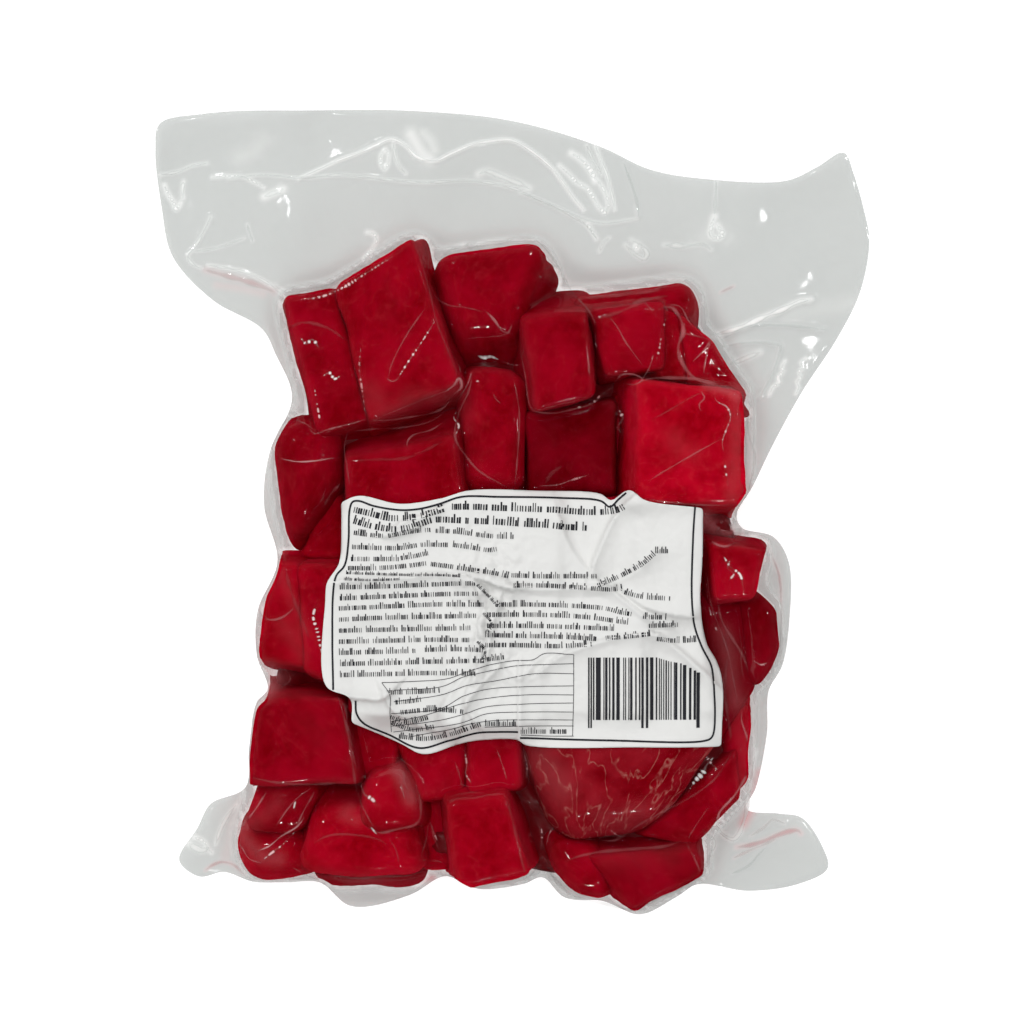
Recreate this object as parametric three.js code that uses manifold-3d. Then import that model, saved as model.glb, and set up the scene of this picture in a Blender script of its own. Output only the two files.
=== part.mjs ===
// A vacuum-sealed clear pouch of frozen tuna cubes, lying flat, with a paper label on it.
// Millimetres, +Z up, +Y towards the loose film flap, origin in the middle of the footprint.
// The pouch is one solid: cut tuna pieces fused to a low core of juice, with the film's
// loose margin round them as a thin wavy skirt. The label is a thin sheet draped over it.

import * as THREE from "three";
import { RoundedBoxGeometry } from "three/addons/geometries/RoundedBoxGeometry.js";
import { mergeVertices } from "three/addons/utils/BufferGeometryUtils.js";
import Module from "manifold-3d";

const manifold = await Module();
manifold.setup();

// Driving dimensions
const CORE_HIGH = 20; // juice and flesh below the gaps between the pieces
const CORE_EDGE = 3; // rounding of the core's rim
const CUT_ROUND = 3.2; // rounding of a cut edge, frozen and pressed by the film
const FOOT_SPREAD = 1.5; // how much further a piece reaches at its foot than at its top
const FOOT_SUNK = 2; // how far a piece is modelled below the flat underside, then cut off
const FILM_THICK = 0.9; // both films of the margin together
const WAIST_HIGH = 10.5; // height at which the margin leaves the contents
const LABEL_THICK = 0.5;
const LABEL_GAP = 0.35; // clear space under the label
const LABEL_REACH = 2.2; // how far round a point of the label the height under it is taken
const LABEL_STEPS = [26, 17]; // grid of the label, across and down
const LABEL_PASSES = 40; // rounds of pulling the label taut
const CORE_STEPS = 60; // points round the core
const SKIRT_STEPS = [150, 7]; // grid of the film margin, round and outwards
const SLIVER_EDGE = 0.12; // edges shorter than this are drawn together after a join
const SLIVER_HIGH = 0.02; // triangles flatter than this are turned into their neighbour
const SAME_POINT = 1e-5; // corners closer than this are one corner
const CLEAR_HIGH = 200; // a height well above everything

// The film's margin starts on a rounded rectangle inside the contents and falls from the
// waist to the surface it lies on over this length, in folds that grow outwards
const SKIRT_ROOT = { x: 42, yNear: -84, yFar: 46, round: 5 };
const FALL_LENGTH = 58;
const FOLD_HIGH = 2.2;
const FOLD_MEAN = 0.8; // mean height of the folds against their swing
const FOLDS = [
  { alongX: 0.16, alongY: 0.05, start: 1.2, swing: 0.5 },
  { alongX: 0.07, alongY: -0.17, start: 0, swing: 0.3 },
];

// Edge of the film, clockwise from the far left corner: the flap, the right side with its
// two necks, the right ear, the near side, the left ear and the left side
const FILM_EDGE = [
  [-92.4, 102], [-81, 104.5], [-55, 105.5], [-29, 105.4], [-3, 103.2], [23, 96], [36, 90], [49, 87.5],
  [72, 87], [80, 90.5], [87, 94.3], [89.5, 89], [92.5, 78.5], [93.7, 71], [91.3, 57.7], [85.3, 45.5],
  [76, 31.5], [68, 17], [63, 6.5], [59, -0.8], [60.5, -4.2], [68.5, -6.5], [72.5, -13], [72.8, -28],
  [71, -40], [67.3, -47], [66.8, -58], [64, -72], [61.5, -77.8], [70, -79], [76, -80.2],
  [81.5, -88], [82.8, -93.5], [75, -97.5], [62, -99.2], [49, -97.5], [43, -101], [33.5, -105.5],
  [24, -102.2], [13.8, -101], [8, -95.9], [3, -97.5], [-9, -98.8], [-17.5, -95.7], [-27, -100.5],
  [-42, -103.2], [-50.5, -97.3], [-59, -97.2], [-68, -97], [-75.5, -94.4], [-82, -95.6], [-87.3, -91.3],
  [-82.4, -82.7], [-79, -76.5], [-70, -72.3], [-69, -62], [-67, -50], [-64.2, -46.5], [-67, -37.5],
  [-66.8, -26], [-61.6, -13], [-65, 2], [-63.5, 16], [-57.7, 30], [-62, 41.5], [-65.5, 48],
  [-78.5, 55.6], [-89, 67], [-92, 80], [-93.6, 95],
];

// Edge of the core, just inside the outermost pieces
const CORE_OUTLINE = [
  [-54, 51], [-28, 62], [5, 63], [44, 54], [56, 32], [56, 4], [60, -12], [65, -30], [61, -50], [58, -68],
  [46, -86], [22, -95], [-10, -91], [-45, -91], [-66, -89], [-63, -76], [-64, -52], [-61, -40],
  [-60, -20], [-51, -10], [-57, 6], [-54, 22], [-50, 36],
];

// Four edges of the label, each from left to right or from far to near
const LABEL_FAR = [
  [-44, 2.5], [-39.5, 4.2], [-29, 2.1], [-18.7, 3.4], [-11, 5.5], [7, 5.4], [23, 4.6], [25.5, 2.9],
  [30.2, 5.7], [34, 3.1], [49.1, 1],
];
const LABEL_NEAR = [
  [-41.4, -54.3], [-29.1, -59.8], [-22.8, -62.7], [-13.5, -59.8], [-8.3, -58.8], [1.8, -58.8],
  [3.2, -60], [33.3, -60.6], [54, -60.6],
];
const LABEL_LEFT = [
  [-44, 2.5], [-43.9, -4.7], [-44.5, -13], [-47.6, -18.2], [-48.1, -23], [-48, -44.7], [-41.7, -48],
  [-41.4, -54.3],
];
const LABEL_RIGHT = [
  [49.1, 1], [48.9, -12.5], [48.4, -23], [50.2, -34], [52.8, -38.5], [54.3, -43.7], [54, -60.6],
];

// One cut piece of tuna: the corners of its top in plan, clockwise from the far left, its
// height, the slope of its top along X and Y, the shift of its foot and its edge rounding
function piece(corners, high, { slope = [0, 0], foot = [0, 0], round = CUT_ROUND } = {}) {
  return { corners, high, slope, foot, round };
}

const TUNA_PIECES = [
  // far row, from left to right
  piece([[-58.5, 55.5], [-46, 57.5], [-37.3, 23.8], [-49.5, 20.5]], 28, { slope: [0.1, 0.02] }),
  piece([[-45.2, 58], [-26, 70], [-13.3, 33.5], [-36.3, 23.8]], 32, { slope: [0, -0.05] }),
  piece([[-20.5, 65.5], [8, 70], [1, 47], [-14, 46]], 28, { foot: [0, -7], round: 6 }),
  piece([[3, 49.5], [19.3, 51], [21.3, 30], [6.5, 26]], 32, { foot: [-2, 7] }),
  piece([[22.5, 51], [36.5, 52], [37.5, 37.5], [24.7, 35.5]], 30, { foot: [0, 5] }),
  piece([[15.5, 56], [47, 60], [48, 51], [18.5, 50]], 23, { slope: [0.1, 0], round: 5 }),
  piece([[37.7, 52.5], [43, 51], [45, 34.5], [37.5, 35.5]], 26),
  piece([[43.5, 51], [52, 44.5], [60, 31], [46, 34.3]], 25, { slope: [-0.3, 0] }),
  // second row
  piece([[32.8, 33.5], [59, 31], [61, 2], [32, 2]], 33, { slope: [-0.04, 0.03] }),
  piece([[26.8, 31], [32, 31], [32, 3], [26.8, 3]], 17),
  piece([[4, 25.5], [26, 28.5], [26.2, 5.5], [5, 5]], 25, { slope: [0.05, 0.02] }),
  piece([[-12, 37.5], [3.4, 36], [2.7, 5.5], [-11, 6.5]], 27, { foot: [-2, 0], round: 5 }),
  piece([[-42.5, 13], [-15, 19], [-12, -1], [-42, -1]], 29, { foot: [0, 8], slope: [0.03, 0] }),
  piece([[-62, 22.5], [-46.5, 24.5], [-45.5, 5], [-58, -7.5]], 26, { round: 7 }),
  // left side
  piece([[-49.5, 3], [-44.5, 4], [-44, -12], [-54, -11.5]], 18),
  piece([[-63, -13.8], [-55, -14], [-53.5, -40], [-66.3, -39]], 27, { slope: [0.15, 0] }),
  piece([[-55, -14], [-45, -14], [-43.5, -45], [-53.5, -41]], 29),
  piece([[-66, -48.5], [-44, -48], [-40.5, -69.5], [-68.3, -70]], 30),
  piece([[-66, -72], [-52, -71], [-54, -82], [-68, -85]], 21, { slope: [0, 0.1] }),
  piece([[-72, -80], [-58, -83], [-53, -95], [-71, -96.5]], 23, { slope: [0.05, 0.15] }),
  // near row
  piece([[-48.5, -82], [-27, -81.5], [-23.5, -94.5], [-54, -95]], 27, { round: 5 }),
  piece([[-38, -68.5], [-28, -67], [-23.7, -82], [-38.5, -82.5]], 30, { round: 5 }),
  piece([[-41, -53], [-29, -53], [-31, -69], [-40, -70]], 20),
  piece([[-29, -60], [-12.5, -57], [-13, -73.5], [-24, -75]], 22),
  piece([[-23.5, -75], [-18, -75], [-16.5, -93], [-23, -93]], 15),
  piece([[-11, -57], [1.5, -56], [2, -71.5], [-11.3, -73]], 25),
  piece([[-17, -75], [-2, -73], [4.5, -93], [-13.5, -97.5]], 31, { foot: [-0.5, 1] }),
  piece([[2.5, -54], [56, -54], [38, -82], [12, -85]], 29, { slope: [0, 0.1], round: 9 }),
  piece([[10, -85], [21, -87], [22, -101.5], [13, -98]], 24, { round: 5 }),
  piece([[20, -89.5], [47, -87], [49.5, -94], [31, -103]], 25),
  piece([[34, -83.5], [58, -62], [59, -74], [46, -87]], 20, { foot: [2, -1] }),
  piece([[56, -50], [61.5, -50], [61.5, -70], [57.5, -74]], 18),
  // right side
  piece([[51, -8], [65, -10], [62.5, -22], [52.5, -22.5]], 28),
  piece([[60, -20], [68.5, -24], [69.5, -38], [63, -45.5]], 23, { round: 5 }),
  piece([[49, -22], [61, -24], [63, -46], [54, -59]], 20),
  // under the label
  piece([[-43, -2], [-17, -2], [-17, -27], [-43, -28]], 29),
  piece([[-14, 4], [12, 3], [12, -25], [-14, -26]], 30),
  piece([[14, 3], [31, 3], [31, -26], [14, -25]], 28),
  piece([[33, 1], [49, 0], [48, -26], [33, -27]], 31),
  piece([[-42, -30], [-20, -29], [-20, -52], [-42, -52]], 28),
  piece([[-17, -28], [8, -27], [8, -54], [-17, -55]], 31),
  piece([[11, -27], [33, -28], [34, -52], [11, -52]], 31),
  piece([[36, -29], [48, -29], [52, -52], [36, -52]], 28),
];

// Finishes
const pouchFinish = new THREE.MeshStandardMaterial({ color: 0x96061a, roughness: 0.3, metalness: 0 });
const labelFinish = new THREE.MeshStandardMaterial({ color: 0xe0dedb, roughness: 0.7, metalness: 0 });

// A three.js geometry as a solid that can be joined and cut
function toSolid(geometry) {
  const bare = geometry.clone();
  bare.deleteAttribute("normal");
  bare.deleteAttribute("uv");
  const merged = mergeVertices(bare, SAME_POINT);
  return new manifold.Manifold(new manifold.Mesh({
    numProp: 3,
    vertProperties: merged.attributes.position.array,
    triVerts: Uint32Array.from(merged.index.array),
  }));
}

// Mends the slivers that a join leaves, so that every triangle has a real area: an edge
// under `shortest` is drawn together, and a triangle flatter than `flattest` is turned into
// its neighbour across its longest edge, both only where the surface stays closed
function mendSlivers(points, triangles, shortest, flattest) {
  const corner = (index) => new THREE.Vector3().fromArray(points, 3 * index);
  const length = (a, b) => corner(a).distanceTo(corner(b));
  const fans = new Map();
  const join = (t) => triangles[t].forEach((v) => fans.set(v, (fans.get(v) ?? new Set()).add(t)));
  const leave = (t) => triangles[t].forEach((v) => fans.get(v).delete(t));
  triangles.forEach((_, t) => join(t));
  const around = (v) => new Set([...fans.get(v)].flatMap((t) => triangles[t]));
  const shared = (a, b) => [...fans.get(a)].filter((t) => fans.get(b).has(t));
  const replace = (t, before, after) => {
    leave(t);
    triangles[t] = triangles[t].map((v) => (v === before ? after : v));
    join(t);
  };
  for (let pass = 0; pass < 4; pass += 1) {
    for (let t = 0; t < triangles.length; t += 1) {
      if (!triangles[t]) continue;
      const [p, q, r] = triangles[t];
      const sides = [[p, q, r], [q, r, p], [r, p, q]];
      sides.sort((one, other) => length(one[0], one[1]) - length(other[0], other[1]));
      const [[keep, drop]] = sides;
      if (length(keep, drop) < shortest) {
        const inBoth = [...around(keep)].filter((v) => v !== keep && v !== drop && around(drop).has(v));
        if (inBoth.length !== 2) continue;
        for (const gone of shared(keep, drop)) {
          leave(gone);
          triangles[gone] = null;
        }
        for (const other of [...fans.get(drop)]) replace(other, drop, keep);
        continue;
      }
      const [a, b, c] = sides[2];
      const area = corner(b).sub(corner(a)).cross(corner(c).sub(corner(a))).length() / 2;
      if ((2 * area) / length(a, b) > flattest) continue;
      const [beyond] = shared(a, b).filter((other) => other !== t);
      const d = triangles[beyond].find((v) => v !== a && v !== b);
      if (shared(c, d).length) continue;
      replace(t, b, d);
      replace(beyond, a, c);
    }
  }
  return triangles.filter(Boolean);
}

// Fills sealed hollows and drops loose scraps: of the closed shells that share no corner,
// only the one with the most triangles stays
function outerShell(triangles) {
  const parent = new Map();
  const rootOf = (v) => {
    let root = v;
    while (parent.has(root)) root = parent.get(root);
    if (root !== v) parent.set(v, root);
    return root;
  };
  for (const [a, b, c] of triangles) {
    for (const other of [b, c]) {
      if (rootOf(other) !== rootOf(a)) parent.set(rootOf(other), rootOf(a));
    }
  }
  const shells = new Map();
  for (const triangle of triangles) {
    const root = rootOf(triangle[0]);
    if (!shells.has(root)) shells.set(root, []);
    shells.get(root).push(triangle);
  }
  return [...shells.values()].sort((p, q) => q.length - p.length)[0];
}

// A solid back as a three.js geometry
function toGeometry(solid) {
  const mesh = solid.getMesh();
  const joined = [];
  for (let i = 0; i < mesh.triVerts.length; i += 3) joined.push([...mesh.triVerts.slice(i, i + 3)]);
  const triangles = outerShell(mendSlivers(mesh.vertProperties, joined, SLIVER_EDGE, SLIVER_HIGH));
  const geometry = new THREE.BufferGeometry();
  geometry.setAttribute("position", new THREE.BufferAttribute(mesh.vertProperties, 3));
  geometry.setIndex(triangles.flat());
  geometry.computeVertexNormals();
  return geometry;
}

// A smooth curve through points of a plan, closed or open
function planCurve(points, closed) {
  return new THREE.CatmullRomCurve3(points.map(([x, y]) => new THREE.Vector3(x, y, 0)), closed);
}

// A rounded box whose plan is stretched to the piece's four corners, bilinearly, and whose
// top is sloped, so that no two pieces are alike
function tunaPiece({ corners, high, slope, foot, round }) {
  const [farLeft, farRight, nearRight, nearLeft] = corners.map(([x, y]) => new THREE.Vector2(x, y));
  const wide = (farLeft.distanceTo(farRight) + nearLeft.distanceTo(nearRight)) / 2;
  const deep = (farLeft.distanceTo(nearLeft) + farRight.distanceTo(nearRight)) / 2;
  const tall = high + FOOT_SUNK;
  const middle = new THREE.Vector2().add(farLeft).add(farRight).add(nearRight).add(nearLeft).divideScalar(4);
  const geometry = new RoundedBoxGeometry(wide, deep, tall, 1, round);
  const position = geometry.attributes.position;
  for (let i = 0; i < position.count; i += 1) {
    const up = position.getZ(i) / tall + 0.5;
    const spread = 2 * FOOT_SPREAD * (1 - up);
    const across = (position.getX(i) / wide) * (1 + spread / wide) + 0.5;
    const back = (position.getY(i) / deep) * (1 + spread / deep) + 0.5;
    const near = nearLeft.clone().lerp(nearRight, across);
    const far = farLeft.clone().lerp(farRight, across);
    const plan = near.lerp(far, back);
    const rise = high + slope[0] * (plan.x - middle.x) + slope[1] * (plan.y - middle.y) + FOOT_SUNK;
    position.setXYZ(i, plan.x + foot[0] * (1 - up), plan.y + foot[1] * (1 - up), up * rise - FOOT_SUNK);
  }
  return geometry;
}

// The low core that fills the gaps between the pieces
function juiceCore() {
  const shape = new THREE.Shape(planCurve(CORE_OUTLINE, true).getPoints(CORE_STEPS).slice(1));
  return new THREE.ExtrudeGeometry(shape, {
    depth: CORE_HIGH + FOOT_SUNK - CORE_EDGE,
    bevelSize: CORE_EDGE,
    bevelThickness: CORE_EDGE,
    bevelOffset: -CORE_EDGE,
    bevelSegments: 2,
  }).translate(0, 0, -FOOT_SUNK);
}

// A closed thin solid on a grid of points of its middle surface: rows of equal length,
// an upper and a lower face split alike, and a wall along every free edge
function sheetSolid(grid, thick, closedRows) {
  const rows = grid.length;
  const columns = grid[0].length;
  const points = [];
  for (const side of [0.5, -0.5]) {
    for (const row of grid) {
      for (const p of row) points.push(p.x, p.y, p.z + side * thick);
    }
  }
  const at = (row, column, side) => side * rows * columns + (row % rows) * columns + column;
  const triangles = [];
  const quad = (a, b, c, d) => triangles.push(a, b, c, a, c, d);
  const lastRow = closedRows ? rows : rows - 1;
  for (let i = 0; i < lastRow; i += 1) {
    for (let j = 0; j < columns - 1; j += 1) {
      quad(at(i, j, 0), at(i, j + 1, 0), at(i + 1, j + 1, 0), at(i + 1, j, 0));
      quad(at(i, j, 1), at(i + 1, j, 1), at(i + 1, j + 1, 1), at(i, j + 1, 1));
    }
    quad(at(i, 0, 0), at(i + 1, 0, 0), at(i + 1, 0, 1), at(i, 0, 1));
    quad(at(i, columns - 1, 1), at(i + 1, columns - 1, 1), at(i + 1, columns - 1, 0), at(i, columns - 1, 0));
  }
  for (let j = 0; !closedRows && j < columns - 1; j += 1) {
    quad(at(0, j, 1), at(0, j + 1, 1), at(0, j + 1, 0), at(0, j, 0));
    quad(at(rows - 1, j, 0), at(rows - 1, j + 1, 0), at(rows - 1, j + 1, 1), at(rows - 1, j, 1));
  }
  const geometry = new THREE.BufferGeometry();
  geometry.setAttribute("position", new THREE.Float32BufferAttribute(points, 3));
  geometry.setIndex(triangles);
  return geometry;
}

// Height of the film's margin at a point of its plan, this far away from its root
function marginHeight(x, y, away) {
  const gone = Math.min(1, away / FALL_LENGTH);
  const fold = FOLDS.reduce(
    (sum, { alongX, alongY, start, swing }) => sum + swing * Math.sin(alongX * x + alongY * y + start),
    FOLD_MEAN,
  );
  return FILM_THICK / 2 + (WAIST_HIGH - FILM_THICK / 2) * (1 - gone) ** 2 + FOLD_HIGH * gone * fold;
}

// The film's margin, from its root inside the contents out to the film's edge
function filmMargin() {
  const edge = planCurve(FILM_EDGE, true).getSpacedPoints(SKIRT_STEPS[0]).slice(1).reverse();
  const { x: half, yNear, yFar, round } = SKIRT_ROOT;
  const grid = edge.map((outer) => {
    const nearest = new THREE.Vector3(
      THREE.MathUtils.clamp(outer.x, -half, half),
      THREE.MathUtils.clamp(outer.y, yNear, yFar),
      0,
    );
    const outwards = outer.clone().sub(nearest).normalize();
    const inner = nearest.addScaledVector(outwards, round);
    const row = [];
    for (let j = 0; j <= SKIRT_STEPS[1]; j += 1) {
      const p = inner.clone().lerp(outer, j / SKIRT_STEPS[1]);
      p.z = marginHeight(p.x, p.y, p.distanceTo(inner));
      row.push(p);
    }
    return row;
  });
  return sheetSolid(grid, FILM_THICK, true);
}

// The pouch: everything fused, then cut flat where it lies
function pouchSolid() {
  let solid = toSolid(juiceCore()).add(toSolid(filmMargin()));
  for (const shape of TUNA_PIECES) solid = solid.add(toSolid(tunaPiece(shape)));
  const half = CLEAR_HIGH / 2;
  const above = new THREE.BoxGeometry(2 * CLEAR_HIGH, 2 * CLEAR_HIGH, CLEAR_HIGH).translate(0, 0, half);
  return solid.intersect(toSolid(above));
}

// Height of the pouch under a point of its plan, or 0 beside it
function heightFinder(mesh) {
  const ray = new THREE.Raycaster();
  const down = new THREE.Vector3(0, 0, -1);
  return (x, y) => {
    ray.set(new THREE.Vector3(x, y, CLEAR_HIGH), down);
    const hits = ray.intersectObject(mesh, false);
    return hits.length ? hits[0].point.z : 0;
  };
}

// The label: a patch spanned between its four edges, laid over the pieces as a taut sheet
// that bridges the gaps, by moving each point to the mean of its neighbours but never
// below what is under it
function labelSheet(pouch) {
  const [across, down] = LABEL_STEPS;
  const far = planCurve(LABEL_FAR, false).getSpacedPoints(across);
  const near = planCurve(LABEL_NEAR, false).getSpacedPoints(across);
  const left = planCurve(LABEL_LEFT, false).getSpacedPoints(down);
  const right = planCurve(LABEL_RIGHT, false).getSpacedPoints(down);
  const heightAt = heightFinder(pouch);
  const grid = [];
  const floor = [];
  for (let i = 0; i <= across; i += 1) {
    const u = i / across;
    grid.push([]);
    floor.push([]);
    for (let j = 0; j <= down; j += 1) {
      const v = j / down;
      const p = new THREE.Vector3()
        .addScaledVector(far[i], 1 - v).addScaledVector(near[i], v)
        .addScaledVector(left[j], 1 - u).addScaledVector(right[j], u)
        .addScaledVector(left[0], -(1 - u) * (1 - v)).addScaledVector(right[0], -u * (1 - v))
        .addScaledVector(left[down], -(1 - u) * v).addScaledVector(right[down], -u * v);
      let highest = 0;
      for (const dx of [-LABEL_REACH, 0, LABEL_REACH]) {
        for (const dy of [-LABEL_REACH, 0, LABEL_REACH]) {
          highest = Math.max(highest, heightAt(p.x + dx, p.y + dy));
        }
      }
      floor[i].push(highest + LABEL_GAP + LABEL_THICK / 2);
      p.z = floor[i][j];
      grid[i].push(p);
    }
  }
  for (let pass = 0; pass < LABEL_PASSES; pass += 1) {
    for (let i = 0; i <= across; i += 1) {
      for (let j = 0; j <= down; j += 1) {
        const beside = [grid[i - 1]?.[j], grid[i + 1]?.[j], grid[i][j - 1], grid[i][j + 1]].filter(Boolean);
        const mean = beside.reduce((sum, p) => sum + p.z, 0) / beside.length;
        grid[i][j].z = Math.max(floor[i][j], mean);
      }
    }
  }
  return sheetSolid(grid, LABEL_THICK, false);
}

const pouch = new THREE.Mesh(toGeometry(pouchSolid()), pouchFinish);
pouch.name = "pouch";

const label = new THREE.Mesh(toGeometry(toSolid(labelSheet(pouch))), labelFinish);
label.name = "label";

const pack = new THREE.Group();
pack.add(pouch, label);

export default pack;
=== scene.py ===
import bpy
import numpy as np
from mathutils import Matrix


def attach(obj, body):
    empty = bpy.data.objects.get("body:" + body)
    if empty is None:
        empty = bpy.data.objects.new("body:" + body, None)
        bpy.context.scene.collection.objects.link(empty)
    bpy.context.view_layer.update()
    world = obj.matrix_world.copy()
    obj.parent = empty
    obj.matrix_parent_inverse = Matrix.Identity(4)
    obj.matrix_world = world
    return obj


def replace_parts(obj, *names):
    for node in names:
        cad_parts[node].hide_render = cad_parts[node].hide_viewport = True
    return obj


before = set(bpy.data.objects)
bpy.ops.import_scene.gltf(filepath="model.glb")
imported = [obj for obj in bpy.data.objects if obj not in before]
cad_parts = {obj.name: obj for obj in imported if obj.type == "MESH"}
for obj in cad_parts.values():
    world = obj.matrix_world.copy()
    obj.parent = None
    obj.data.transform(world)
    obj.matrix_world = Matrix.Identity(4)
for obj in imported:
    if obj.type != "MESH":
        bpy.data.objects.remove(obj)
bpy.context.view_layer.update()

# The view
# The photograph looks straight down on the middle of the pack. A long lens from well above
# keeps the tops and the table at nearly one scale, as in the photograph.
PICTURE_SIDE = 266.24  # what the square picture takes in at the height below
PICTURE_HIGH = 16.0
LENS = 200.0
SENSOR = 36.0
METRE = 1000.0

camera_data = bpy.data.cameras.new("camera")
camera_data.lens = LENS
camera_data.sensor_width = SENSOR
camera = bpy.data.objects.new("camera", camera_data)
camera.location = (0, 0, (PICTURE_HIGH + PICTURE_SIDE * LENS / SENSOR) / METRE)
bpy.context.scene.collection.objects.link(camera)
bpy.context.scene.camera = camera


# The tuna
# Frozen tuna loin sawn into cubes of 25 to 30 mm, with some wedges and rounded ends. The
# pieces lie in one layer, their cut edges softened by the film that is drawn tight on them.
CUT_EDGE = 1.8  # rounding of a cut edge
EDGE_SHARE = 0.49  # most that the rounding may take of a piece's side
CUT_OUT = 0.3  # how far the face round a rounded top reaches past its traced corners
FOOT_SPREAD = 3.6  # how much further a piece reaches at its foot than at its top
FOOT_INWARD = 0.055  # shift of a foot towards the middle of the pack, for each mm from there
FOOT_HIGH = 0.5  # clear of the lower film
PACK_MIDDLE = np.array([-2.0, -18.0])
FINE_STEP = 0.95  # mesh spacing on the pieces that show
PLAIN_STEP = 1.7  # and on those under the label
CUT_FACE = [(0.25, 14.0), (0.06, 3.6)]  # height and length of the swells of a cut face
EDGE_CLEAR = 1.5  # how far a piece stays inside the film's edge
PRESS_MOST = 5.0  # most that the film's edge presses a piece in
PATTERN_AWAY = 500.0  # how far apart two pieces may lie in the pattern of the flesh
FLESH_DEEP = (0.25, 0.0, 0.0045, 1)
FLESH_BRIGHT = (0.40, 0.0008, 0.013, 1)
FIBRE_COLOUR = (0.47, 0.004, 0.018, 1)
FAT_CLOUD = (0.52, 0.10, 0.11, 1)
VEIN_COLOUR = (0.66, 0.26, 0.22, 1)
MUSCLE_WAYS = (1.0, 0.42, 0.42)  # stretches the veins along the muscle


def cut(corners, high, slope=(0, 0), foot=(0, 0), edge=CUT_EDGE, tone=1.0, veins=0.04):
    """One piece: the corners of its top in plan, clockwise from the far left, its height, the
    slope of its top, the shift of its foot, its edge rounding, brightness and marbling."""
    return dict(corners=np.array(corners, float), high=high, slope=slope, foot=foot, edge=edge,
                tone=tone, veins=veins)


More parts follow.
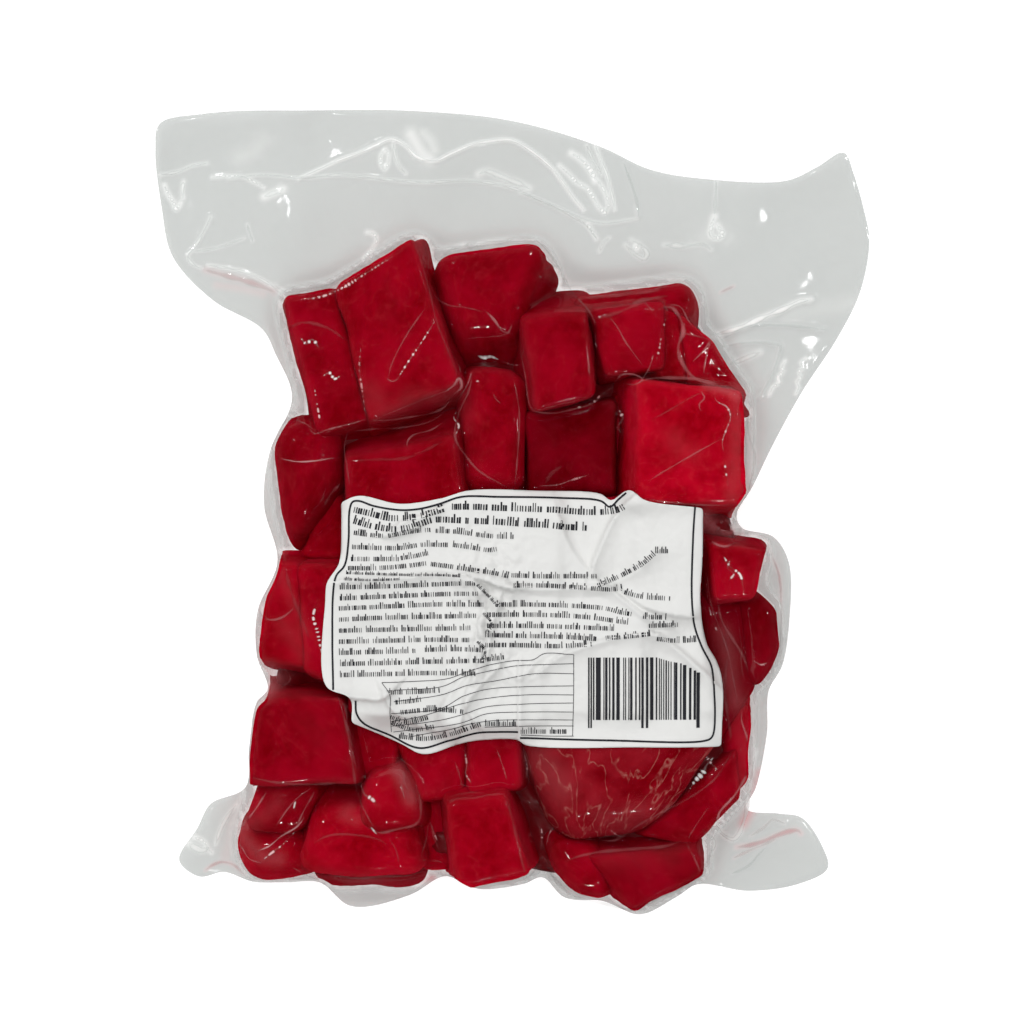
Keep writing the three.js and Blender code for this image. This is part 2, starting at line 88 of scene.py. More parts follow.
PIECES = {
    "tuna_far_row": [
        cut([(-58.5, 55.5), (-46, 57.5), (-37.3, 23.8), (-49.5, 20.5)], 28, (0.1, 0.02), tone=0.85),
        cut([(-45.2, 58), (-26, 70), (-13.3, 33.5), (-36.3, 23.8)], 32, (0, -0.05), tone=0.93),
        cut([(-19.8, 67), (8.2, 70.5), (1, 47), (-14, 46)], 28, foot=(0, -7), edge=4.5, tone=0.84),
        cut([(3, 49.5), (19.3, 51), (21.3, 30), (6.5, 26)], 32, foot=(-2, 7), tone=0.86),
        cut([(21.6, 51.5), (38.8, 53.5), (39, 37), (24.2, 35)], 30, foot=(0, 5), tone=0.9),
        cut([(16.5, 55.5), (46.5, 59.5), (48, 51), (18.5, 49)], 24, (0.1, 0), edge=5, tone=0.85),
        cut([(37.7, 52.5), (43, 51), (45, 34.5), (37.5, 35.5)], 26),
        cut([(43.5, 51), (52, 44.5), (60, 31), (46, 34.3)], 25, (-0.3, 0)),
    ],
    "tuna_second_row": [
        cut([(32.8, 33.5), (59, 31), (60, 2.5), (32, 2)], 33, (-0.04, 0.03), (-3, 1), tone=1.38),
        cut([(26.8, 31), (32, 31), (32, 3), (26.8, 3)], 17),
        cut([(4, 25.5), (26, 28.5), (26.2, 5.5), (5, 5)], 25, (0.05, 0.02), tone=0.5),
        cut([(-12, 37.5), (3.4, 36), (2.7, 5.5), (-11, 6.5)], 27, foot=(-2, 0), edge=5, tone=0.92),
        cut([(-42.5, 13), (-15, 19), (-12, -1), (-42, -1)], 29, (0.03, 0), (0, 9), tone=0.92),
        cut([(-62, 22.5), (-46.5, 24.5), (-45.5, 5), (-58, -7.5)], 26, edge=7, tone=0.78),
    ],
    "tuna_left_side": [
        cut([(-49.5, 3), (-44.5, 4), (-44, -12), (-54, -11.5)], 18),
        cut([(-62.5, -13.8), (-55, -14), (-53.5, -40), (-65, -38)], 27, (0.15, 0), tone=1.1),
        cut([(-55, -14), (-45, -14), (-43.5, -45), (-53.5, -41)], 29),
        cut([(-66, -48.5), (-44, -48), (-40.5, -69.5), (-68.3, -70)], 30, tone=0.86),
        cut([(-65, -71), (-50, -71), (-55.5, -83), (-69, -82.5)], 25, (0, 0.12), edge=4, tone=0.85),
        cut([(-71.5, -83.5), (-55, -84.5), (-51.5, -94.5), (-69.5, -95.5)], 20, (0.05, 0.15), edge=5),
    ],
    "tuna_near_row": [
        cut([(-51, -76.5), (-28, -77.5), (-23.5, -94.5), (-55, -94)], 26, (0, -0.08), (0, 3), edge=5,
            tone=1.15),
        cut([(-38, -68.5), (-28, -67), (-23.7, -82), (-38.5, -82.5)], 30, edge=5, tone=1.12),
        cut([(-52, -90), (-26, -90), (-26, -98), (-50.5, -97.5)], 9, edge=3, tone=0.7),
        cut([(-41, -53), (-29, -53), (-31, -69), (-40, -70)], 20),
        cut([(-29, -60), (-12.5, -57), (-13, -73.5), (-24, -75)], 22),
        cut([(-23.5, -75), (-18, -75), (-16.5, -93), (-23, -93)], 15),
        cut([(-11, -57), (1.5, -56), (2, -71.5), (-11.3, -73)], 25),
        cut([(-17, -75), (-2, -73), (4.5, -93), (-13.5, -97.5)], 31, foot=(-0.5, 1), tone=1.1),
        cut([(2.5, -54), (56, -54), (38, -82), (12, -85)], 29, (0, 0.1), edge=9, tone=0.78, veins=1.0),
        cut([(10, -86), (24, -87.5), (26, -101), (14, -98)], 24, edge=5, tone=0.9),
        cut([(20, -89.5), (47, -87), (49.5, -94), (31, -103)], 25, tone=0.75),
        cut([(34, -83.5), (58, -62), (59, -74), (46, -87)], 20, foot=(2, -1), tone=0.9),
        cut([(56, -50), (61.5, -50), (61.5, -70), (57.5, -74)], 18),
    ],
    "tuna_right_side": [
        cut([(51, -8), (65, -10), (62.5, -22), (52.5, -22.5)], 28),
        cut([(60, -20), (68.5, -24), (69.5, -38), (63, -45.5)], 23, edge=5, tone=0.6),
        cut([(49, -22), (61, -24), (63, -46), (54, -59)], 19, tone=0.5),
    ],
    "tuna_under_label": [
        cut([(-43, -2), (-17, -2), (-17, -27), (-43, -28)], 29),
        cut([(-14, 4), (12, 3), (12, -25), (-14, -26)], 30),
        cut([(14, 3), (31, 3), (31, -26), (14, -25)], 28),
        cut([(33, 1), (49, 0), (48, -26), (33, -27)], 31),
        cut([(-42, -30), (-20, -29), (-20, -52), (-42, -52)], 28),
        cut([(-17, -28), (8, -27), (8, -54), (-17, -55)], 31),
        cut([(11, -27), (33, -28), (34, -52), (11, -52)], 31),
        cut([(36, -29), (48, -29), (52, -52), (36, -52)], 28),
    ],
}


def quads_of(index):
    """The quads of a grid of vertex numbers, anticlockwise when its first axis runs to the
    right and its second one up."""
    quads = [index[:-1, :-1], index[1:, :-1], index[1:, 1:], index[:-1, 1:]]
    return np.stack(quads, -1).reshape(-1, 4)


def rounded_box(size, edge, step):
    """A box with rounded edges: points q on a box are first drawn to the nearest point c of
    the box that is smaller by the rounding all round, then put at c + edge (q - c) / |q - c|."""
    half = np.array(size) / 2
    cells = np.maximum(4, np.round(2 * half / step).astype(int))
    lines = [np.linspace(-h, h, n + 1) for h, n in zip(half, cells)]
    points, quads, count = [], [], 0
    for axis in range(3):
        a, b = (axis + 1) % 3, (axis + 2) % 3
        for side in (1, -1):
            grid = np.empty((cells[a] + 1, cells[b] + 1, 3))
            grid[..., a] = lines[a][:, None]
            grid[..., b] = lines[b][None, :]
            grid[..., axis] = side * half[axis]
            index = count + np.arange(grid[..., 0].size).reshape(grid.shape[:2])
            quads.append(quads_of(index)[:, ::side])
            points.append(grid.reshape(-1, 3))
            count += index.size
    every = np.concatenate(points)
    _, first, where = np.unique(np.round(every, 4), axis=0, return_index=True, return_inverse=True)
    box = every[first]
    core = np.clip(box, edge - half, half - edge)
    outward = (box - core) / np.linalg.norm(box - core, axis=1, keepdims=True)
    return core + edge * outward, outward, where.reshape(-1)[np.concatenate(quads)]


def uneven(points, swells, rng, waves=14):
    """A smooth uneven field. Each swell, given by its height and length, is the sum of sine
    waves of about that length that run in random directions, scaled to about its height."""
    field = np.zeros(len(points))
    for high, length in swells:
        ways = rng.normal(size=(waves, points.shape[1]))
        steep = (2 * np.pi / length) * rng.uniform(0.6, 1.5, (waves, 1))
        ways *= steep / np.linalg.norm(ways, axis=1, keepdims=True)
        turns = rng.uniform(0, 2 * np.pi, waves)
        field += high * np.sin(points @ ways.T + turns).sum(1) / np.sqrt(waves)
    return field


def tuna_piece(piece, step, rng):
    """An uneven rounded box whose plan is stretched to the piece's four corners, bilinearly:
    plan = mix(mix(near left, near right, across), mix(far left, far right, across), back),
    spread a little towards the foot, with a sloped top."""
    far_left, far_right, near_right, near_left = piece["corners"]
    wide = (np.linalg.norm(far_right - far_left) + np.linalg.norm(near_right - near_left)) / 2
    deep = (np.linalg.norm(far_left - near_left) + np.linalg.norm(far_right - near_right)) / 2
    high = piece["high"]
    edge = min(piece["edge"], EDGE_SHARE * min(wide, deep))
    points, outward, faces = rounded_box((wide, deep, high), edge, step)
    turn = np.linalg.qr(rng.normal(size=(3, 3)))[0] if piece["veins"] < 1 else np.eye(3)
    flesh = points @ turn + rng.uniform(-PATTERN_AWAY, PATTERN_AWAY, 3)
    points = points + outward * uneven(points, CUT_FACE, rng)[:, None]
    up = np.clip(points[:, 2:] / high + 0.5, 0, 1.2)  # past 1 where the top swells
    spread = 2 * (CUT_OUT + FOOT_SPREAD * (1 - up))
    across = points[:, :1] / wide * (1 + spread / wide) + 0.5
    back = points[:, 1:2] / deep * (1 + spread / deep) + 0.5
    near = near_left + (near_right - near_left) * across
    far = far_left + (far_right - far_left) * across
    plan = near + (far - near) * back
    rise = high + (plan - piece["corners"].mean(0)) @ np.array(piece["slope"])[:, None]
    inward = FOOT_INWARD * (PACK_MIDDLE - piece["corners"].mean(0))
    place = plan + (inward + np.array(piece["foot"])) * (1 - up)
    return np.hstack([place, FOOT_HIGH + up * (rise - FOOT_HIGH)]), faces, flesh


CURVE_STEPS = 12  # of a traced curve, from one point to the next
HOLD_POINTS = 500  # round the film's edge, where it holds the pieces in

# Edge of the film, clockwise from the far left corner
FILM_EDGE = [
    (-92.4, 102), (-81, 104.5), (-55, 105.5), (-29, 105.4), (-3, 103.2), (23, 96), (36, 90),
    (49, 87.5), (72, 87), (80, 90.5), (87, 94.3), (89.5, 89), (92.5, 78.5), (93.7, 71),
    (91.3, 57.7), (85.3, 45.5), (76, 31.5), (68, 17), (63, 6.5), (59, -0.8), (60.5, -4.2),
    (68.5, -6.5), (72.5, -13), (72.8, -28), (71, -40), (67.3, -47), (66.8, -58), (64, -72),
    (61.5, -77.8), (70, -79), (76, -80.2), (81.5, -88), (82.8, -93.5), (75, -97.5), (62, -99.2),
    (49, -97.5), (43, -101), (33.5, -105.5), (24, -102.2), (13.8, -101), (8, -95.9), (3, -97.5),
    (-9, -98.8), (-17.5, -95.7), (-27, -100.5), (-42, -103.2), (-50.5, -97.3), (-59, -97.2),
    (-68, -97), (-75.5, -94.4), (-82, -95.6), (-87.3, -91.3), (-82.4, -82.7), (-79, -76.5),
    (-70, -72.3), (-69, -62), (-67, -50), (-64.2, -46.5), (-67, -37.5), (-66.8, -26),
    (-61.6, -13), (-65, 2), (-63.5, 16), (-57.7, 30), (-62, 41.5), (-65.5, 48), (-78.5, 55.6),
    (-89, 67), (-92, 80), (-93.6, 95),
]


def curve_through(points, steps, closed):
    """A smooth curve: between two points a cubic with tangents from the neighbours, each
    chord weighted by the root of its length."""
    p = np.array(points, float)
    if closed:
        p0, p1, p2, p3 = np.roll(p, 1, 0), p, np.roll(p, -1, 0), np.roll(p, -2, 0)
    else:
        padded = np.vstack([2 * p[0] - p[1], p, 2 * p[-1] - p[-2]])
        p0, p1, p2, p3 = padded[:-3], padded[1:-2], padded[2:-1], padded[3:]
    chords = ((p0, p1), (p1, p2), (p2, p3))
    d0, d1, d2 = (np.sqrt(np.linalg.norm(b - a, axis=1))[:, None] for a, b in chords)
    leave = ((p1 - p0) / d0 - (p2 - p0) / (d0 + d1) + (p2 - p1) / d1) * d1
    reach = ((p2 - p1) / d1 - (p3 - p1) / (d1 + d2) + (p3 - p2) / d2) * d1
    t = np.linspace(0, 1, steps, endpoint=False)[None, :, None]
    p1, p2, leave, reach = p1[:, None], p2[:, None], leave[:, None], reach[:, None]
    fine = ((2 * t**3 - 3 * t**2 + 1) * p1 + (t**3 - 2 * t**2 + t) * leave
            + (3 * t**2 - 2 * t**3) * p2 + (t**3 - t**2) * reach).reshape(-1, 2)
    return fine if closed else np.vstack([fine, p[-1:]])


def spaced(points, count, closed=False):
    """Points at even steps along a polyline."""
    line = np.vstack([points, points[:1]]) if closed else points
    along = np.concatenate([[0], np.cumsum(np.linalg.norm(np.diff(line, axis=0), axis=1))])
    at = np.linspace(0, along[-1], count, endpoint=not closed)
    return np.stack([np.interp(at, along, line[:, k]) for k in (0, 1)], 1)


edge_curve = curve_through(FILM_EDGE, CURVE_STEPS, True)
film_edge = spaced(edge_curve, HOLD_POINTS, True)
way = np.roll(film_edge, -1, 0) - np.roll(film_edge, 1, 0)
inward_of_edge = np.stack([way[:, 1], -way[:, 0]], 1) / np.linalg.norm(way, axis=1, keepdims=True)


def held_in(points):
    """Points pressed in by the film: each one that lies past the clearance from the nearest
    stretch of the film's edge moves square to that stretch until it keeps the clearance."""
    apart = points[:, None, :2] - film_edge[None]
    nearest = (apart**2).sum(2).argmin(1)
    inward = inward_of_edge[nearest]
    depth = (apart[np.arange(len(points)), nearest] * inward).sum(1)
    points[:, :2] += inward * np.clip(EDGE_CLEAR - depth, 0, PRESS_MOST)[:, None]
    return points


def mesh_piece(name, points, faces, material, slot, **fields):
    """A mesh object from points in millimetres and a list of faces, with each named field kept
    on its points, that rides on the pack's one body."""
    mesh = bpy.data.meshes.new(name)
    mesh.from_pydata((points / METRE).tolist(), [], faces)
    mesh.polygons.foreach_set("use_smooth", np.ones(len(faces), bool))
    for field, values in fields.items():
        kind, key = ("FLOAT", "value") if values.ndim == 1 else ("FLOAT_VECTOR", "vector")
        kept = mesh.attributes.new(field, kind, "POINT").data
        kept.foreach_set(key, values.astype(np.float32).ravel())
    mesh.materials.append(material)
    mesh.update()
    piece = bpy.data.objects.new(name, mesh)
    bpy.context.scene.collection.objects.link(piece)
    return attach(piece, "root")


def new_material(name):
    """An empty node material and its output's surface socket."""
    material = bpy.data.materials.new(name)
    material.use_nodes = True
    material.node_tree.nodes.clear()
    output = material.node_tree.nodes.new("ShaderNodeOutputMaterial")
    return material, material.node_tree, output.inputs["Surface"]


def add(tree, kind, feeds=None, **settings):
    """A node with its settings, each input fed from a socket or set to a value."""
    node = tree.nodes.new("ShaderNode" + kind)
    for key, value in settings.items():
        setattr(node, key, value)
    for key, value in (feeds or {}).items():
        if isinstance(value, bpy.types.NodeSocket):
            tree.links.new(value, node.inputs[key])
        else:
            node.inputs[key].default_value = value
    return node


def calc(tree, operation, *feeds):
    """The result of one sum on numbers or sockets."""
    return add(tree, "Math", dict(enumerate(feeds)), operation=operation).outputs[0]


def blend(tree, share, first, second):
    """A colour between two, by a share from 0 to 1."""
    node = add(tree, "Mix", data_type="RGBA")
    for socket, value in ((node.inputs[0], share), (node.inputs[6], first), (node.inputs[7], second)):
        if isinstance(value, bpy.types.NodeSocket):
            tree.links.new(value, socket)
        else:
            socket.default_value = value
    return node.outputs[2]


def field_of(tree, name, output="Fac"):
    """A field kept on the points, as a number or, by its output, a vector."""
    return add(tree, "Attribute", attribute_name=name).outputs[output]


def mottled(tree, at, scale, detail, rough=0.5, twist=0.0):
    """An uneven pattern in space, round a half."""
    feeds = {"Vector": at, "Scale": scale, "Detail": detail, "Roughness": rough, "Distortion": twist}
    return add(tree, "TexNoise", feeds).outputs[0]


def spread_out(tree, value, least, most):
    """A value's range from least to most made 0 to 1, and cut off past it."""
    return add(tree, "MapRange", {"Value": value, "From Min": least, "From Max": most}).outputs[0]


# The moist cut face of deep red muscle: darker and lighter clouds and fine fibres, faint pale
# clouds and veins of fat, which are strong on the marbled piece
tuna_flesh, tree, surface = new_material("tuna_flesh")
flesh = field_of(tree, "flesh", "Vector")
tone = field_of(tree, "tone")
marbled = field_of(tree, "veins")
clouds = spread_out(tree, mottled(tree, flesh, 0.09, 3.0, 0.55), 0.36, 0.66)
fibre = mottled(tree, flesh, 0.5, 4.0, 0.6, 0.4)
fibres = spread_out(tree, fibre, 0.42, 0.66)
red = blend(tree, clouds, FLESH_DEEP, FLESH_BRIGHT)
red = blend(tree, calc(tree, "MULTIPLY", fibres, 0.28), red, FIBRE_COLOUR)
pale = calc(tree, "MULTIPLY", calc(tree, "MULTIPLY", clouds, marbled), 0.12)
red = blend(tree, pale, red, FAT_CLOUD)

# A vein runs where its pattern crosses a half, broken up by the fibres
along = add(tree, "VectorMath", {0: flesh, 1: MUSCLE_WAYS}, operation="MULTIPLY").outputs[0]
vein = calc(tree, "SUBTRACT", mottled(tree, along, 0.2, 2.5, 0.55, 0.5), 0.5)
line = spread_out(tree, calc(tree, "ABSOLUTE", vein), 0.03, 0.0)
line = calc(tree, "MULTIPLY", line, calc(tree, "MULTIPLY_ADD", fibres, 0.8, 0.2))
red = blend(tree, calc(tree, "MULTIPLY", calc(tree, "MULTIPLY", line, marbled), 0.6), red, VEIN_COLOUR)
shaded = add(tree, "VectorMath", {0: red}, operation="SCALE")
tree.links.new(tone, shaded.inputs["Scale"])
bump = add(tree, "Bump", {"Height": fibre, "Strength": 0.15, "Distance": 0.0004})
meat = add(tree, "BsdfPrincipled", {
    "Base Color": shaded.outputs[0], "Roughness": 0.5, "Specular IOR Level": 0.0,
    "Subsurface Weight": 0.3, "Subsurface Radius": (1.0, 0.12, 0.1), "Subsurface Scale": 0.003,
    "Normal": bump.outputs[0],
})
tree.links.new(meat.outputs[0], surface)

# The pieces of a group as one mesh. The film is drawn over their points and face middles.
rng = np.random.default_rng(43)
heaps = []
for name, pieces in PIECES.items():
    step = PLAIN_STEP if name == "tuna_under_label" else FINE_STEP
    points, faces, fleshes, tones, veins, count = [], [], [], [], [], 0
    for piece in pieces:
        place, quads, flesh_place = tuna_piece(piece, step, rng)
        points.append(held_in(place))
        faces.append(quads + count)
        fleshes.append(flesh_place)
        tones.append(np.full(len(place), piece["tone"]))
        veins.append(np.full(len(place), piece["veins"]))
        count += len(place)
    points, faces = np.concatenate(points), np.concatenate(faces)
    heap = mesh_piece(name, points, faces.tolist(), tuna_flesh, "tuna", flesh=np.concatenate(fleshes),
                      tone=np.concatenate(tones), veins=np.concatenate(veins))
    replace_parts(heap, "pouch")
    heaps += [points, points[faces].mean(1)]
tuna_points = np.concatenate(heaps)


# The frozen juice, and painted shade in the gaps
# Dark red drip that ran into the gaps and froze there in the bag. It is one uneven slab
# between the pieces, lower than they are. Its very dark red is also painted shade, put
# where the deep gaps between the pieces lie in shade.
JUICE_HIGH = 13.0
JUICE_RIM = 0.35  # share of that height at the rim
JUICE_EDGE = 4.0  # how far in from the rim the slab reaches its height
JUICE_RINGS = 60
JUICE_RIM_POINTS = 240
JUICE_LUMPS = [(1.3, 17), (0.5, 5)]  # height and length
# The drip's dark red, made darker still as painted shade of the deep gaps
JUICE_AND_SHADE_DARK = (0.09, 0.0008, 0.002, 1)
JUICE_AND_SHADE_LIGHT = (0.20, 0.002, 0.007, 1)
JUICE_OUTLINE = [
    (-54, 51), (-28, 62), (3, 60), (14, 53), (44, 53), (56, 32), (56, 4), (60, -12), (65, -30), (61, -50),
    (58, -68), (46, -86), (22, -95), (-10, -91), (-45, -91), (-66, -89), (-63, -76), (-64, -52),
    (-61, -40), (-60, -20), (-51, -10), (-57, 6), (-54, 22), (-50, 36),
]

# Its colour is painted shade of the gaps as well as the drip's own dark red
juice_and_gap_shade_finish, tree, surface = new_material("juice_and_gap_shade_finish")
cloud = mottled(tree, add(tree, "TexCoord").outputs["Object"], 160.0, 3.0)
dark = blend(tree, cloud, JUICE_AND_SHADE_DARK, JUICE_AND_SHADE_LIGHT)
bump = add(tree, "Bump", {"Height": cloud, "Strength": 0.3, "Distance": 0.0008})
juice_and_shade_surface = add(tree, "BsdfPrincipled", {"Base Color": dark, "Roughness": 0.3, "Normal": bump.outputs[0]})
tree.links.new(juice_and_shade_surface.outputs[0], surface)

# Rings from the middle out to the rim, down the side and back in underneath
rim = spaced(curve_through(JUICE_OUTLINE, CURVE_STEPS, True), JUICE_RIM_POINTS, True)[::-1]
reach = np.concatenate([np.linspace(0.02, 1, JUICE_RINGS), np.linspace(1, 0.02, JUICE_RINGS // 3)])
rings = PACK_MIDDLE + (rim - PACK_MIDDLE)[None] * reach[:, None, None]
inset = np.minimum(1, (1 - reach) * np.linalg.norm(rim - PACK_MIDDLE, axis=1).mean() / JUICE_EDGE)
swollen = JUICE_HIGH * (JUICE_RIM + (1 - JUICE_RIM) * np.sqrt(inset * (2 - inset)))
high = swollen[:, None] * np.ones(len(rim))
high[JUICE_RINGS:] = FOOT_HIGH
top = np.dstack([rings, high]).reshape(-1, 3)
on_top = slice(0, JUICE_RINGS * len(rim))
top[on_top, 2] += uneven(top[:, :2], JUICE_LUMPS, rng)[on_top]
count = len(reach) * len(rim)
index = np.arange(count).reshape(len(reach), len(rim))
around = np.hstack([index, index[:, :1]])
juice_points = np.vstack([top, [*PACK_MIDDLE, high[0, 0]], [*PACK_MIDDLE, FOOT_HIGH]])
caps = [np.stack([np.full(len(rim), count), around[0, :-1], around[0, 1:]], 1),
        np.stack([np.full(len(rim), count + 1), around[-1, 1:], around[-1, :-1]], 1)]
faces = quads_of(around).tolist() + caps[0].tolist() + caps[1].tolist()
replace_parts(mesh_piece("juice", juice_points, faces, juice_and_gap_shade_finish, "juice"), "pouch")


# The film
# A clear bag of two webs of film sealed along their edges. The vacuum draws the upper web
# tight over the pieces; the empty margin lies loose, with a wide flap at the far end.
FILM_STEP = 0.56
OUTLINE_POINTS = 1600  # round the film
FILM_HALF = (97.44, 109.76)  # half the size of the grid that the upper web is cut from
FILM_GAP = 0.3  # film clear of what it is drawn over
WEB_GAP = 0.45  # upper web clear of the lower one
LOWER_HIGH = 0.15  # lower web above the table
PULL = 3.0  # how sharply the vacuum bends the free film, in mm of fall for each mm squared
PULL_ROUNDS = 620
HUG_ROUNDS = 4  # of averaging that round the contents under the film
LOOSE_ROUNDS = 130  # of averaging over which the margin comes loose from the contents
FILM_THICK = 0.9  # both webs of the margin, as the frame has them
WAIST_HIGH = 10.5  # height at which the margin leaves the contents
FALL_LENGTH = 58.0  # over which the margin falls to the table
ROOT_HALF, ROOT_NEAR, ROOT_FAR, ROOT_ROUND = 42.0, -84.0, 46.0, 5.0  # block that it falls away from
FOLD_HIGH, FOLD_MEAN = 2.2, 0.8  # the loose folds of the margin
FOLDS = [(0.16, 0.05, 1.2, 0.5), (0.07, -0.17, 0.0, 0.3)]  # turns along x and y, start, swing
FREE_GAP = 1.2  # above what it covers, where the film is free to wrinkle
WRINKLES = [(0.28, 6.5), (0.14, 3.0)]  # height and length between the pieces
WRINKLE_LEAST = 0.10  # share of them where the film is tight
SLACK_ALONG, SLACK_SHORT = [(0.35, 15)], [(0.03, 5)]  # and in the loose margin
SLACK_WAYS = (1, 0.45)  # stretches the slack towards the flap's end
FROST = [(1.0, 22)]  # height and length of its patches
HAZE_FROST, HAZE_STRETCHED, HAZE_BARE = 0.004, 0.03, 0.5  # how milky each makes the upper web
HAZE_LOWER, HAZE_WALL = 0.15, 0.42  # and the lower one where bare, and beside the contents' walls
HAZE_HIGH = 4.0  # part between the webs over which the bare film's haze fades
STAIN_FLESH, STAIN_MARGIN, STAIN_EDGE = 0.86, 0.01, 0.10  # tint over flesh, far from it, beside it
SHUT, PARTED = 0.2, 1.1  # from the film's edge, where the webs are shut, and over which they part
WEB_LEAST = 0.1  # between the webs
FILM_CLEAR = (0.93, 0.945, 0.94, 1)
FILM_GREY = (0.465, 0.48, 0.465, 1)
# White of the creases: partly whitened film, partly painted highlight
FILM_WHITENED_AND_HIGHLIT = (0.92, 0.925, 0.91, 1)
FILM_PINK = (0.70, 0.10, 0.125, 1)

PIXEL = 0.26  # of the photograph, where creases and print are read
PIXEL_MIDDLE = 512
BROAD = 1.2  # half width in mm from which a crease is a soft smear without a crisp line
SMEAR_LEAST = 0.55  # half width of the smear beside a crisp line
SMEAR_BROAD, SMEAR_FINE = (0.4, 0.5), (0.03, 0.2)  # milk over the contents, and more where bare
CREST_STEP = 0.3  # along the crisp line of a crease
CREST_LIFT = 0.06  # of that line above the film
CREST_LEAST = 0.03  # half width where the line is broken
CREST_ENDS = 5  # it tapers over one part in this many at each end
BEAD_DARK = 0.35  # painted light under which a beaded line breaks off
WAVER = [(1.0, 9)]  # height and length of its changes of width
GLINTS = [(1.0, 1.5), (0.8, 7)]  # and of those of its painted light, which break it into beads
WALL_CLEAR, WALL_STEEP = 1.8, 1.6  # the line fades on a wall's slope, gone at their product


def crease(*path, whitening_and_highlight=0.5, pink=0.0, wide=0.35, high=0.25, beads=0.0):
    """One crease of the film along pixels of the photograph: how milky and how stained with
    juice it is, its half width and height, and how far it breaks up into beads. Its white is
    partly whitened film and partly painted highlight, and its beads are painted glints."""
    return dict(path=path, whitening_and_highlight=whitening_and_highlight, pink=pink, wide=wide, high=high, beads=beads)


